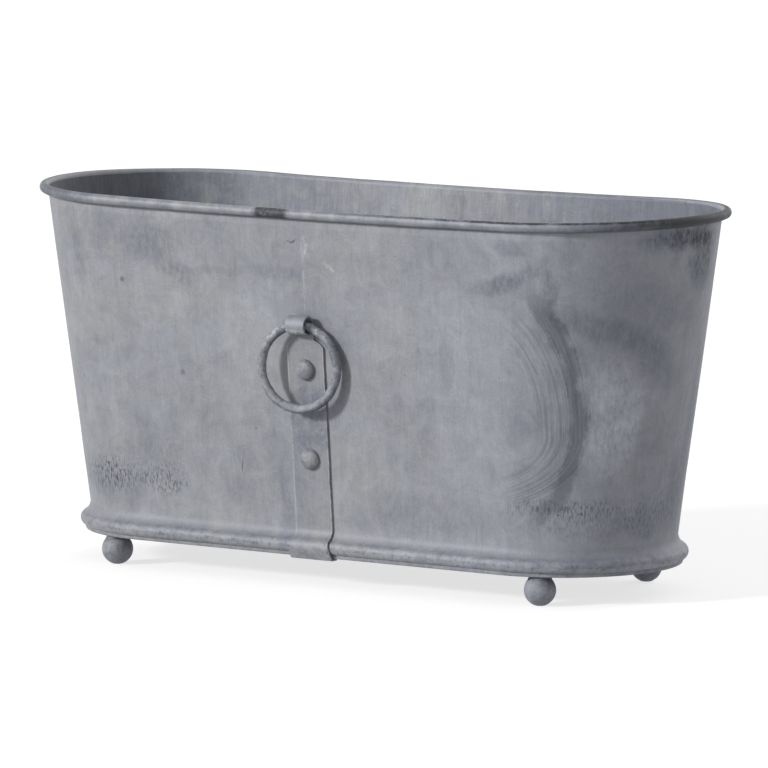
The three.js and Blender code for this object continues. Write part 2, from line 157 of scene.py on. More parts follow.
def wire(tree, kind, inputs=None, out=0, **settings):
    return Wire(node(tree, kind, inputs, **settings).outputs[out])


def tree_of(*values):
    return next(value.tree for value in values if isinstance(value, Wire))


def maths(operation, *values):
    return wire(tree_of(*values), "ShaderNodeMath", dict(enumerate(values)), operation=operation)


def vector_maths(operation, *values):
    out = "Value" if operation == "LENGTH" else "Vector"
    return wire(tree_of(*values), "ShaderNodeVectorMath", dict(enumerate(values)), out, operation=operation)


def scaled(vector, length):
    return wire(vector.tree, "ShaderNodeVectorMath", {"Vector": vector, "Scale": length}, operation="SCALE")


def split(vector):
    made = node(vector.tree, "ShaderNodeSeparateXYZ", {"Vector": vector})
    return [Wire(output) for output in made.outputs]


def joined(x, y=0.0, z=0.0):
    return wire(x.tree, "ShaderNodeCombineXYZ", {"X": x, "Y": y, "Z": z})


def mixed(share, first, second):
    inputs = {0: share, 6: first, 7: second}  # a colour mix's Factor, A and B
    return wire(share.tree, "ShaderNodeMix", inputs, 2, data_type="RGBA", clamp_factor=True)


def remap(value, low, high, to_low=0.0, to_high=1.0):
    """A value between low and high, eased to lie between to_low and to_high, and held there outside."""
    return wire(value.tree, "ShaderNodeMapRange", {
        "Value": value, "From Min": low, "From Max": high, "To Min": to_low, "To Max": to_high},
        interpolation_type="SMOOTHSTEP")


def band(value, low, high, soft):
    """1 between low and high, easing to 0 over soft on each side."""
    return remap(value, low - soft, low) * remap(value, high, high + soft, 1.0, 0.0)


def noise_at(place, scale, detail=3.0, roughness=0.5, stretch=None, distortion=0.0):
    """Noise from 0 to 1, about 0.5. The scale counts features per metre; a stretch weighs the axes."""
    if stretch:
        place = vector_maths("MULTIPLY", place, stretch)
    return wire(place.tree, "ShaderNodeTexNoise", {
        "Vector": place, "Scale": scale, "Detail": detail, "Roughness": roughness, "Distortion": distortion})


def summed(parts, start=1.0):
    """start plus each part's share: a part is (value about 0.5, strength)."""
    total = start
    for value, strength in parts:
        total = maths("MULTIPLY_ADD", value - 0.5, strength, total)
    return total


def toned(mask, strength=1.0):
    """A factor on lightness: 1 where the mask is 0, and 1 + strength where it is 1."""
    return maths("MULTIPLY_ADD", mask, strength, 1.0)


# %% [markdown]
# ## Sizes
#
# The sheet's section is known from the pieces of the frame: how far out the rim and the pan reach, and how
# high the rim stands. The small radii of the roll, the cove and the nose are written once here.

# %% Sizes from the frame and from the sheet
SHEET = 0.9 * MM
SEAT_GAP = 0.3 * MM
ROLL_RADIUS = 3.75 * MM
ROLL_END = -130
ROLL_STEPS = 30
WIRE_RADIUS = 2.4 * MM
RIM_DIP = 3.5 * MM
COVE_TURN = 60
NOSE_RADIUS = 5.5 * MM
NOSE_REACH = 8 * MM
NOSE_HEIGHT = 31.5 * MM
NOSE_END = -70
LAP_EDGE = 1 * MM
LONG_SIDES = (("front", 0, -1), ("back", math.pi, 1))  # name, turn about Z, sign of y

wall_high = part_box("wall_right")[1]
pan_low, pan_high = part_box("floor_pan")
roll_centre = ROLL_RADIUS - SHEET
roll_height = wall_high.z - ROLL_RADIUS
cove_radius = NOSE_REACH / (1 - cosine(COVE_TURN)) - NOSE_RADIUS
flare_top = NOSE_HEIGHT + (NOSE_RADIUS + cove_radius) * sine(COVE_TURN)
nose_centre = NOSE_REACH - NOSE_RADIUS
pan_reach = nose_centre + (NOSE_RADIUS - SHEET) * cosine(NOSE_END) - SEAT_GAP
top_half = (wall_high.x - roll_centre - ROLL_RADIUS, wall_high.y - roll_centre - ROLL_RADIUS)
foot_half = (pan_high.x - pan_reach, pan_high.y - pan_reach)
foot_straight = foot_half[0] - foot_half[1]
front_joint = next(j for j in frame["joints"] if j["child"] == "front_ring")
eye_out = -front_joint["pos_m"][1]
eye_height = front_joint["pos_m"][2]


def roll_row(angle):
    """The section's row at an angle on the roll: 0 is straight out, 90 is its top."""
    return (angle - ROLL_END) / (180 - ROLL_END) * ROLL_STEPS


print("wall half sizes", top_half, foot_half, "flare to", flare_top)

# %% [markdown]
# ## Materials: aged zinc
#
# Zinc ages to a matt skin in which bluish and warm greys lie in clouds, with fine vertical streaks where
# water ran, speckle, and dark pits. Each of these is a noise of its own scale, and their sum makes the
# surface lighter or darker. Every piece reads its own Object coordinates, so the clouds run on over a
# seam. The tones differ: the walls are lighter, the feet darker and more pitted.

# %% The zinc finish
COOL_ZINC = (0.296, 0.306, 0.338, 1)
WARM_ZINC = (0.315, 0.318, 0.334, 1)
# a cool painted shade tint for the right end, which is turned from the sun and lit only by the sky
RIGHT_END_SHADE_ZINC = (0.290, 0.300, 0.342, 1)
# a bluer tint for darker metal: partly the stains' own colour, partly painted shade
STAIN_AND_SHADE_ZINC = (0.276, 0.298, 0.356, 1)


def new_material(name):
    material = bpy.data.materials.new(name)
    material.use_nodes = True
    tree = material.node_tree
    tree.nodes.clear()
    shader = node(tree, "ShaderNodeBsdfPrincipled")
    node(tree, "ShaderNodeOutputMaterial", {"Surface": Wire(shader.outputs[0])})
    return material, tree, shader


def zinc(name, level=1.0, clouds=0.5, mottle=0.75, streaks=0.26, speckle=0.5, pits=0.5,
         metallic=0.2, roughness=0.6, bump=0.35, fineness=1.0, marks=None):
    """Aged zinc. level is its lightness against the walls'; the next weigh one kind of unevenness each, and
    fineness above 1 makes all of them smaller, for a small part. Towards the right end the tint cools as
    painted shade, and darker metal turns bluer, partly stain and partly painted shade."""
    material, tree, shader = new_material(name)
    spot = wire(tree, "ShaderNodeTexCoord", out="Object")
    place = scaled(spot, fineness)
    cloud = noise_at(place, 11, 5, 0.6, distortion=0.8)
    blotch = noise_at(place, 52, 6, 0.7, distortion=0.9)
    streak = noise_at(place, 1, 5, 0.62, stretch=(110, 110, 7))
    scratch = noise_at(place, 1, 4, 0.6, stretch=(620, 620, 24))
    grain = noise_at(place, 640, 5, 0.72)
    holes = remap(noise_at(place, 190, 5, 0.75), 0.64, 0.76)
    warmth = noise_at(place, 24, 4, 0.6, distortion=0.5)
    light = summed([(cloud, clouds), (blotch, mottle), (streak, streaks), (scratch, streaks),
                    (grain, speckle)], level) * toned(holes, -pits)
    if marks:
        light = light * marks(spot)
    tint = mixed(remap(warmth, 0.36, 0.66), COOL_ZINC, WARM_ZINC)
    # painted shade: towards the right end the tint cools, as the shade there would
    tint = mixed(remap(split(spot)[0], 0.03, 0.20, 0.0, 0.9), tint, RIGHT_END_SHADE_ZINC)
    # the darker the marks, partly stains and partly painted shade, the bluer the tint
    tint = mixed(remap(light, 0.92, 0.65, 0.0, 0.8), tint, STAIN_AND_SHADE_ZINC)
    relief = summed([(grain, 1.0), (blotch, 1.4), (scratch, 0.6), (holes, -0.9)], 0.5)
    put(shader.inputs["Base Color"], scaled(tint, light))
    put(shader.inputs["Metallic"], metallic)
    put(shader.inputs["Roughness"], summed([(blotch, 0.3), (grain, 0.2)], roughness))
    put(shader.inputs["Normal"], wire(tree, "ShaderNodeBump", {
        "Height": relief, "Strength": bump, "Distance": 0.5 * MM}))
    return material


base_zinc = zinc("base_zinc", level=0.91, mottle=1.5, speckle=1.0, pits=0.8, bump=0.6, fineness=2.6)
rivet_zinc = zinc("rivet_zinc", level=0.86, clouds=0.6, mottle=1.5, speckle=0.9, bump=0.6, fineness=2.6)
bright_steel = zinc("bright_steel", level=0.95, mottle=0.3, speckle=0.3, metallic=0.7, roughness=0.45)
solder = zinc("solder", level=1.10, mottle=1.0, metallic=0.3, roughness=0.5)
print("plain finishes:", [material.name for material in (base_zinc, rivet_zinc, bright_steel, solder)])

# %% [markdown]
# ## Stains placed by tape measure
#
# The front of the walls carries marks of its own, which noise alone would not put in their places. So every
# wall point carries how far round the trough it lies from the middle of the front, how high, and on which
# row of the sheet's section. A patch is an ellipse in the first two measures, with its edge broken up by
# noise, and a table holds many patches: the middle's run and height, the half sizes, a turn, and how much
# lighter or darker the metal is there.

# %% Patches
def carried_place(tree):
    return split(wire(tree, "ShaderNodeAttribute", out="Vector", attribute_name="place"))


def taped_place(spot):
    """(run, height) with an outline that wanders by a few millimetres, then the exact run, height and row."""
    run, height, row = carried_place(spot.tree)
    wander = wire(spot.tree, "ShaderNodeTexNoise", {
        "Vector": spot, "Scale": 38.0, "Detail": 6.0, "Roughness": 0.7}, "Color")
    shift = vector_maths("MULTIPLY", vector_maths("SUBTRACT", wander, (0.5, 0.5, 0.5)), (0.030, 0.022, 0))
    return vector_maths("ADD", joined(run, height), shift), run, height, row


def patch(place, run, height, half_run, half_height, turn=0.0, inner=0.25):
    """1 in the middle of an ellipse given in millimetres and degrees, easing to 0 at its edge."""
    local = wire(place.tree, "ShaderNodeMapping", {
        "Vector": place, "Location": (run * MM, height * MM, 0), "Rotation": (0, 0, math.radians(turn)),
        "Scale": (half_run * MM, half_height * MM, 1)}, vector_type="TEXTURE")
    return remap(vector_maths("LENGTH", local), inner, 1.0, 1.0, 0.0)


def patches(place, table):
    """The sum of several patches, each row of the table ending in its lightness."""
    total = 0.0
    for *shape, lightness in table:
        total = maths("MULTIPLY_ADD", patch(place, *shape), lightness, total)
    return total


# %% Smudges, painted light, tide bands and dots: run, height, half run, half height, turn, lightness
# The patch at run 270 and height 148 is painted light on the right end, which turns away from the sun.
SMUDGES_AND_PAINTED_LIGHT = [
    (182, 252, 44, 11, 12, -0.30), (186, 279, 26, 8, -4, -0.20), (208, 268, 17, 7, 30, -0.16),
    (219, 240, 8, 36, 14, -0.26), (262, 214, 66, 16, -18, -0.24), (308, 186, 42, 20, -35, -0.20),
    (300, 232, 70, 30, -10, -0.08), (322, 283, 54, 13, 0, -0.60), (346, 264, 26, 32, 0, -0.50),
    (364, 140, 16, 80, 0, -0.22), (350, 82, 26, 46, 8, -0.26), (306, 60, 44, 22, 0, -0.16),
    (-24, 247, 46, 9, 0, -0.14), (-150, 100, 44, 28, 0, -0.16), (-215, 255, 16, 40, 0, -0.18),
    (133, 150, 34, 100, 0, 0.05), (186, 292, 60, 6, 0, 0.12), (-130, 290, 120, 5, 0, 0.10),
    (140, 222, 30, 34, 0, 0.06), (-60, 200, 70, 50, 0, 0.03), (270, 148, 36, 66, 0, 0.44),
    (-140, 266, 40, 22, 0, -0.20), (-118, 244, 34, 14, -20, -0.16), (-186, 268, 14, 28, 0, -0.12),
    (-27, 70, 9, 52, 0, -0.16), (60, 262, 70, 14, 4, -0.10), (-95, 246, 60, 5, 3, -0.10),
    (100, 62, 96, 26, 0, -0.14), (-200, 60, 60, 22, 0, -0.10), (-90, 78, 40, 16, -25, -0.08),
    (2, 271, 2.5, 12, -8, 0.35), (24, 258, 8, 2.5, -35, 0.30), (-9, 275, 7, 1.1, 5, -0.60),
]
TIDES = [(-208, 74, 58, 19, 0, -0.85), (-146, 75, 32, 17, 0, -0.60), (240, 76, 84, 11, 0, -0.55),
         (250, 62, 70, 16, 0, -0.30), (318, 68, 46, 24, 0, -0.42)]
DOTS = [(-169.6, 232.9, 3, 3, 0, -0.45), (-119.1, 162.1, 3.4, 3.4, 0, -0.35), (-228, 150, 2, 2, 0, -0.3),
        (-6, 201, 1.6, 1.6, 0, -0.3), (-68, 91, 0.9, 8, -8, -0.5), (-52, 122, 1.6, 1.6, 0, -0.3)]


def stains(spot, place, exact):
    """Sponged smudges, a patch of painted light, crisp dots, and tide bands that break up into fine upright
    ticks.
    """
    sponged = remap(noise_at(spot, 1, 6, 0.78, stretch=(300, 300, 140)), 0.32, 0.68, 0.45, 1.55)
    ticks = remap(noise_at(exact, 1, 4, 0.7, stretch=(620, 190, 1)), 0.47, 0.62)
    return (toned(patches(place, SMUDGES_AND_PAINTED_LIGHT) * sponged) * toned(patches(exact, DOTS))
            * toned(patches(place, TIDES) * ticks))


print("smudges", len(SMUDGES_AND_PAINTED_LIGHT), "tide bands", len(TIDES), "dots", len(DOTS))

# %% [markdown]
# ## The wiped arc
#
# Somebody wiped the right of the front with a brush, which left a dark arc and, inside it, fine bristle
# lines that sweep down and to the left. Both follow the distance from the middle of an egg-shaped outline:
# a band of that distance is an arc, and noise that is fine across it and long along it is bristles.

# %% The wiped arc
def egg_distance(run, height, centre_run, centre_height, half_run, half_up, half_down):
    """1 on an egg-shaped line that is taller above its middle than below, less inside it, more outside."""
    across = (run - centre_run * MM) / (half_run * MM)
    rise = height - centre_height * MM
    above = maths("MAXIMUM", rise, 0.0) / (half_up * MM)
    below = maths("MINIMUM", rise, 0.0) / (half_down * MM)
    return vector_maths("LENGTH", joined(across, above, below))


def wiped_arc(place, run, height):
    x, y, z = split(place)
    outer = egg_distance(x, y, 127, 130, 119, 152, 96)
    dark = band(outer, 0.94, 1.0, 0.05) * patch(place, 232, 150, 60, 118, 8, 0.7)
    inner = egg_distance(run, height, 150, 132, 98, 140, 56)
    lined = band(inner, 0.70, 1.0, 0.14) * patch(place, 222, 140, 64, 110, 12, 0.55)
    bristles = noise_at(joined(inner, height), 1, 4, 0.8, stretch=(44, 14, 1))
    strokes = lined * remap(bristles, 0.44, 0.60)
    bright = lined * remap(bristles, 0.44, 0.32)
    return toned(dark, -0.36) * toned(bright, 0.10) * toned(strokes, -0.28)


# %% [markdown]
# ## Rim and bead
#
# Dark wax is left round the rolled rim, nearly black towards the right end, with dirt in a line along its
# top and a dark joint above the front strap. Below the roll a thin line of painted shadow lies in the
# crease. The bead at the base has painted shade on its cove and on its nose, which face the light, broken
# by a rubbed line on the nose; its underside is painted lighter, and it is speckled towards its underside.
# The rim's tables use only a patch's run: their height stays 0.

# %% Rim and bead marks
RIM_PATINA = [(-330, 0, 130, 10, 0, -0.40), (-226, 0, 60, 10, 0, -0.30), (60, 0, 60, 10, 0, -0.10),
              (190, 0, 110, 10, 0, -0.16), (300, 0, 90, 10, 0, -0.34), (385, 0, 160, 10, 0, -0.80),
              (-110, 0, 80, 10, 0, -0.03)]
RIM_TOP = [(230, 0, 260, 10, 0, -0.90), (-260, 0, 200, 10, 0, -0.16), (600, 0, 280, 10, 0, -0.60),
           (-560, 0, 220, 10, 0, -0.55)]
RIM_JOINT = (-22, 0, 25, 10)


def rim_marks(spot, run, row):
    flat = joined(run)
    rubbed = noise_at(spot, 90, 6, 0.75)
    worn = remap(noise_at(spot, 170, 5, 0.7), 0.34, 0.46, 0.35, 1.0)
    joint = remap(patch(flat, *RIM_JOINT), 0.1, 0.7) * worn * -0.8
    patina = summed([(rubbed, 1.3)], patches(flat, RIM_PATINA)) + joint
    body = maths("MINIMUM", maths("MAXIMUM", toned(patina), 0.10), 1.2)
    on_roll = remap(row, roll_row(115), roll_row(90))
    top = band(row, roll_row(46), roll_row(112), 1.5) * remap(rubbed, 0.44, 0.64, 1.0, 0.5)
    return toned(on_roll * (body - 1.0)) * toned(top * patches(flat, RIM_TOP))


def under_rim(height):
    """Below the roll, a thin dark line of painted shadow in the crease and a paler band where the sheet is
    rubbed.
    """
    seat = roll_height - ROLL_RADIUS
    # painted shadow: a thin dark line where the roll meets the wall
    crease = band(height, seat - 0.8 * MM, seat + 0.5 * MM, 0.5 * MM)
    pale = band(height, seat - 6.0 * MM, seat - 2.0 * MM, 1.6 * MM)
    return toned(crease, -0.34) * toned(pale, 0.07)


def bead_marks(spot, height):
    rubbed = noise_at(spot, 85, 6, 0.75)
    # painted shade on the nose, which faces the light, left out along a rubbed line
    nose_shade = band(height, 31 * MM, 36 * MM, 2 * MM) * remap(rubbed, 0.56, 0.40)
    # painted light: the underside, which faces down, is made lighter
    under = remap(height, 31.5 * MM, 29.5 * MM)
    specks = remap(height, 38 * MM, 32 * MM) * remap(noise_at(spot, 330, 5, 0.8), 0.50, 0.60)
    # painted shade on the cove, which turns up towards the light
    cove = band(height, 37.5 * MM, 43 * MM, 3 * MM)
    return toned(nose_shade, -0.20) * toned(under, 0.16) * toned(specks, -0.34) * toned(cove, -0.14)


# %% [markdown]
# ## The walls' two finishes
#
# The outside takes every mark above. The inside is duller, with longer streaks, and darker towards its
# left end, where painted shade deepens the shade of the end wall, and along the back.

# %% Wall finishes
# The patches at runs -335 and -300, by the left end, are painted shade; the others darken the back.
INSIDE_DARK_PATCHES = [(-335, 0, 120, 10, 0, -0.42), (-300, 0, 80, 10, 0, -0.10), (-460, 0, 160, 10, 0, -0.16),
               (430, 0, 150, 10, 0, -0.32), (560, 0, 120, 10, 0, -0.16)]


def outside_marks(spot):
    place, run, height, row = taped_place(spot)
    on_wall = stains(spot, place, joined(run, height)) * wiped_arc(place, run, height)
    on_rim = rim_marks(spot, split(place)[0], row) * under_rim(height)
    return on_wall * on_rim * bead_marks(spot, height)


def inside_marks(spot):
    place = taped_place(spot)[0]
    flecks = remap(noise_at(spot, 130, 4, 0.7), 0.62, 0.70)
    return toned(patches(joined(split(place)[0]), INSIDE_DARK_PATCHES)) * toned(flecks, 0.2)


wall_outside = zinc("wall_zinc_outside", level=0.965, marks=outside_marks)
wall_inside = zinc("wall_zinc_inside", level=0.92, mottle=0.9, streaks=0.5, marks=inside_marks)
print("wall finish:", len(wall_outside.node_tree.nodes), "nodes")

# %% [markdown]
# ## Worn edges on straps and rings
#
# A strap's left edge carries a painted highlight and its shaded right edge is painted lighter; the lip of
# its loop carries a painted highlight, its tuck is pale where the fold has cracked the skin, and a band under
# the ring is painted shadow. Strap points carry their place across the strip, from -1 to 1, their height, and
# how far round the loop they lie, so the edges can be found. A ring is hammered all over: pale where it is
# rubbed, with painted shade underneath and on its right, and splashed with solder beside the eye.

# %% Strap and ring finishes
def strap_marks(spot):
    across, height, loop = carried_place(spot.tree)
    rubbed = noise_at(spot, 150, 5, 0.75)
    scraped = remap(rubbed, 0.40, 0.56)
    flat = remap(loop, 0.02, 0.06, 1.0, 0.0) * remap(height, 36 * MM, 48 * MM)
    # painted highlight along the left edge, where the bevel faces the light
    bright = remap(across, -0.90, -0.97) * remap(rubbed, 0.34, 0.5, 0.3, 1.0) * flat
    # painted light on the right edge, which is in shade
    side = remap(across, 0.93, 0.99) * scraped * flat
    tuck = remap(height, 36 * MM, 30 * MM) * scraped
    # painted highlight along the lip of the loop
    lip = band(loop, 0.66, 0.80, 0.03) * remap(rubbed, 0.42, 0.54)
    face = band(loop, 0.2, 0.7, 0.1)
    # painted shadow of the ring on the strap
    shade = band(height, 118 * MM, 148 * MM, 22 * MM) * remap(rubbed, 0.66, 0.40)
    cracks = (remap(across, 0.70, 0.98) * band(height, 24 * MM, 40 * MM, 4 * MM)
              * remap(noise_at(spot, 420, 4, 0.7), 0.52, 0.58))
    return (toned(bright, 0.45) * toned(side, 0.5) * toned(tuck, 0.26) * toned(lip, 0.75)
            * toned(face, 0.12) * toned(cracks, -0.6) * toned(shade, -0.24))


def ring_marks(spot):
    x, y, z = split(spot)
    facing = split(wire(spot.tree, "ShaderNodeTexCoord", out="Normal"))
    rubbed = noise_at(spot, 170, 6, 0.8)
    # painted shade on the faces that look down
    below = remap(facing[2], -0.1, -0.8)
    # painted shade towards the right, away from the light; the pale flecks lie there too
    side = remap(x, 6 * MM, 34 * MM)
    splash = remap(z, eye_height - 13 * MM, eye_height - 8 * MM) * remap(rubbed, 0.50, 0.60)
    flecks = side * remap(noise_at(spot, 600, 4, 0.75), 0.56, 0.66)
    return (toned(below, -0.34) * toned(side, -0.16) * toned(splash, 0.6) * toned(flecks, 0.75)
            * toned(remap(rubbed, 0.54, 0.40), -0.30))


strap_zinc = zinc("strap_zinc", level=0.86, clouds=0.4, mottle=0.7, marks=strap_marks)
ring_iron = zinc("ring_iron", level=1.0, mottle=1.3, streaks=0.1, speckle=0.8, bump=0.7, fineness=2.2,
                 marks=ring_marks)
print("all finishes:", len(bpy.data.materials))

# %% [markdown]
# ## Making a piece plain
#
# A piece is made by modifiers, often by a Geometry Nodes tree. Before it joins the frame it is turned into
# a plain mesh: the evaluated object is copied, the modifiers are removed, and the piece rides on its body
# and hides the construction pieces that it stands for.

# %% Settle a finished piece
SHARP_ABOVE = 42  # degrees between two faces past which their edge stays crisp


def linked(name, data):
    made = bpy.data.objects.new(name, data)
    scene.collection.objects.link(made)
    return made


def make_plain(piece):
    bpy.context.view_layer.update()
    evaluated = piece.evaluated_get(bpy.context.evaluated_depsgraph_get())
    mesh = bpy.data.meshes.new_from_object(evaluated)
    piece.modifiers.clear()
    piece.data = mesh
    return mesh


def settle(piece, body, slot, *nodes, material=None):
    mesh = make_plain(piece)
    if material:
        mesh.materials.clear()
        mesh.materials.append(material)
    mesh.shade_smooth()
    mesh.set_sharp_from_angle(angle=math.radians(SHARP_ABOVE))
    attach(piece, body)
    if nodes:
        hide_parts(*nodes)
    print(piece.name, len(mesh.polygons), "faces")


# %% Meshes from points
def mesh_of(name, points, faces=()):
    mesh = bpy.data.meshes.new(name)
    mesh.from_pydata([tuple(p) for p in points], (), faces)
    mesh.update()
    return mesh


def closed_mesh(name, points, faces):
    """A mesh with its doubles merged and its faces turned outwards."""
    mesh = mesh_of(name, points, faces)
    form = bmesh.new()
    form.from_mesh(mesh)
    bmesh.ops.remove_doubles(form, verts=form.verts, dist=1e-7)
    bmesh.ops.dissolve_degenerate(form, edges=form.edges, dist=1e-8)
    bmesh.ops.recalc_face_normals(form, faces=form.faces)
    form.to_mesh(mesh)
    form.free()
    return mesh


def ring_faces(rows, sides, wrap=False):
    """Quads between rows of points that each go once round, and between the last and first with wrap."""
    faces = []
    for row in range(rows if wrap else rows - 1):
        here, after = row * sides, (row + 1) % rows * sides
        for i in range(sides):
            j = (i + 1) % sides
            faces.append((here + i, here + j, after + j, after + i))
    return faces


def arc(across, height, radius, start, end, steps):
    angles = [start + (end - start) * i / steps for i in range(steps + 1)]
    return [(across + radius * cosine(a), height + radius * sine(a)) for a in angles]


# %% [markdown]
# ## A tree that sweeps sheet round the oval
#
# The walls, the rim wire and the pan all follow one rule. The plan is an oval: straight sides with round
# ends. The section is a line of points, each so far out from the wall's face, at a height, and at a share
# of the way from the narrow foot to the wide rim. The tree lays a grid with one column for each place on
# the plan and one row for each point of the section, and moves every grid point to where the two meet.
# The plan comes in as the modifier's own points and the section as another object's points.

# %% Helpers for shape trees
def new_shape_tree(name, inputs):
    tree = bpy.data.node_groups.new(name, "GeometryNodeTree")
    tree.interface.new_socket("Geometry", in_out="OUTPUT", socket_type="NodeSocketGeometry")
    tree.interface.new_socket("Geometry", in_out="INPUT", socket_type="NodeSocketGeometry")
    for label, kind in inputs:
        tree.interface.new_socket(label, in_out="INPUT", socket_type="NodeSocket" + kind)
    given = node(tree, "NodeGroupInput").outputs
    return tree, {socket.name: Wire(socket) for socket in given}


def shape_modifier(piece, tree, **values):
    """Adds the tree to a piece. A named input is set by its socket's identifier."""
    modifier = piece.modifiers.new("shape", "NODES")
    modifier.node_group = tree
    for item in tree.interface.items_tree:
        key = item.name.lower().replace(" ", "_")
        if item.in_out == "INPUT" and key in values:
            modifier[item.identifier] = values[key]


def point_position(tree):
    return wire(tree, "GeometryNodeInputPosition")


def named(tree, name, kind="FLOAT"):
    return wire(tree, "GeometryNodeInputNamedAttribute", {"Name": name}, "Attribute", data_type=kind)


def sampled(geometry, value, index, kind="FLOAT"):
    return wire(geometry.tree, "GeometryNodeSampleIndex", {
        "Geometry": geometry, "Value": value, "Index": index}, "Value", data_type=kind, domain="POINT")


def point_count(geometry):
    inputs = {"Geometry": geometry}
    return wire(geometry.tree, "GeometryNodeAttributeDomainSize", inputs, "Point Count", component="MESH")


def moved(geometry, **inputs):
    """Sets the points' Position, or pushes them by an Offset."""
    return wire(geometry.tree, "GeometryNodeSetPosition", {"Geometry": geometry, **inputs})


def pushed(geometry, length):
    return moved(geometry, Offset=scaled(wire(geometry.tree, "GeometryNodeInputNormal"), length))


def finished(geometry, material):
    """Real geometry, smooth, in one material: what every tree here ends with."""
    tree = geometry.tree
    real = wire(tree, "GeometryNodeRealizeInstances", {"Geometry": geometry})
    smooth = wire(tree, "GeometryNodeSetShadeSmooth", {"Geometry": real})
    painted = wire(tree, "GeometryNodeSetMaterial", {"Geometry": smooth, "Material": material})
    node(tree, "NodeGroupOutput", {"Geometry": painted})
    return tree


# %% The oval sweep tree
def between(share, foot, top):
    return maths("MULTIPLY_ADD", top - foot, share, foot)


def dents(tree):
    """Broad shallow unevenness, which dies out beside the straps and the seams."""
    position = point_position(tree)
    uneven = summed([(noise_at(position, 9, 2), 1.0), (noise_at(position, 42, 2), 0.22)], 0.0)
    from_seam = maths("ABSOLUTE", split(position)[0])
    return uneven * remap(from_seam, 20 * MM, 75 * MM)


def oval_tree():
    tree, given = new_shape_tree("oval_sweep", [
        ("Section", "Object"), ("Foot Length", "Float"), ("Foot Width", "Float"), ("Top Length", "Float"),
        ("Top Width", "Float"), ("Rim Dip", "Float"), ("Dent", "Float"), ("Material", "Material")])
    plan = given["Geometry"]
    section = wire(tree, "GeometryNodeObjectInfo", {"Object": given["Section"]}, "Geometry")
    rows = point_count(section)
    grid = wire(tree, "GeometryNodeMeshGrid", {"Vertices X": point_count(plan), "Vertices Y": rows}, "Mesh")
    index = wire(tree, "GeometryNodeInputIndex")
    column = maths("FLOOR", index / rows)
    row = index - column * rows
    position = point_position(tree)
    along, turn_x, turn_y = split(sampled(plan, position, column, "FLOAT_VECTOR"))
    outward, share, height = split(sampled(section, position, row, "FLOAT_VECTOR"))
    out = outward - sampled(plan, named(tree, "inward"), column)
    length = between(share, given["Foot Length"], given["Top Length"])
    width = between(share, given["Foot Width"], given["Top Width"])
    reach = width + out
    x = maths("MULTIPLY_ADD", along, length - width, reach * turn_x)
    far = maths("POWER", x / (length + out), 2.0)
    dip = (1.0 - far) * given["Rim Dip"]
    z = height - maths("MAXIMUM", dip, 0.0) * share
    laid = moved(grid, Position=joined(x, reach * turn_y, z))
    run = sampled(plan, named(tree, "run"), column)
    marked = wire(tree, "GeometryNodeStoreNamedAttribute", {
        "Geometry": laid, "Name": "place", "Value": joined(run, height, row)},
        data_type="FLOAT_VECTOR", domain="POINT")
    merged = wire(tree, "GeometryNodeMergeByDistance", {"Geometry": marked, "Distance": 1e-6})
    return finished(pushed(merged, dents(tree) * given["Dent"]), given["Material"])


sweep = oval_tree()
print("oval sweep tree:", len(sweep.nodes), "nodes")

# %% [markdown]
# ## Plans and sections
#
# A plan point holds three numbers: how far along the straight side, from -1 to 1, and the direction that
# the wall faces there, as a cosine and a sine. A plan also says how far each point lies round the trough,
# in metres at half height, so that stains can be placed on the metal with a tape measure.

# %% Make plans and sections
SIDE_STEPS = 26
END_STEPS = 76
FALL_STEPS = 26
MID_STRAIGHT = (top_half[0] + foot_half[0] - top_half[1] - foot_half[1]) / 2
MID_WIDTH = (top_half[1] + foot_half[1]) / 2
section_carriers = []


def half_stations(hand, edge):
    """Half the way round, anticlockwise seen from above; hand is -1 left or 1 right."""
    start = edge / foot_straight
    front = [(start + (hand - start) * i / SIDE_STEPS, -90) for i in range(SIDE_STEPS)]
    end = [(hand, -90 + hand * 180 * i / END_STEPS) for i in range(END_STEPS + 1)]
    rear = [(along, 90) for along, angle in reversed(front)]
    stations = front + end + rear
    return stations if hand > 0 else stations[::-1]


def run_at(along, angle, hand):
    """How far round the trough a station lies from the middle of the front, negative to the left."""
    if angle == 90:
        return hand * (2 * MID_STRAIGHT + MID_WIDTH * math.pi) - along * MID_STRAIGHT
    turned = math.radians(angle + 90 if hand > 0 else -90 - angle) % math.tau
    return along * MID_STRAIGHT + hand * MID_WIDTH * turned


def plan_mesh(name, stations, hand=1, closed=False, inward=()):
    if closed:
        stations = stations + stations[:1]
    mesh = mesh_of(name, [(along, cosine(a), sine(a)) for along, a in stations])
    runs = mesh.attributes.new("run", "FLOAT", "POINT")
    runs.data.foreach_set("value", [run_at(along, angle, hand) for along, angle in stations])
    steps = mesh.attributes.new("inward", "FLOAT", "POINT")
    steps.data.foreach_set("value", list(inward) or [0.0] * len(stations))
    return mesh


def section_object(name, points):
    """Points given as (out, height, share); a hidden object carries them until the sweeps are done."""
    made = linked(name, mesh_of(name, [(out, share, height) for out, height, share in points]))
    made.hide_render = True
    section_carriers.append(made)
    return made


def wall_section():
    """The face of the sheet that is outermost on the wall, and touches the wire inside the roll."""
    wire_side = ROLL_RADIUS - SHEET
    roll = arc(roll_centre, roll_height, wire_side, ROLL_END, 180, ROLL_STEPS)
    shares = [1 - i / FALL_STEPS for i in range(1, FALL_STEPS)]
    cove = arc(cove_radius, flare_top, cove_radius, 180, 180 + COVE_TURN, 12)
    nose = arc(nose_centre, NOSE_HEIGHT, NOSE_RADIUS, COVE_TURN, NOSE_END, 18)
    return ([(out, height, 1) for out, height in roll]
            + [(0, flare_top + (roll_height - flare_top) * share, share) for share in shares]
            + [(out, height, 0) for out, height in cove + nose[1:]])


print("round the trough at half height:", round(4 * MID_STRAIGHT + math.tau * MID_WIDTH, 3), "m")

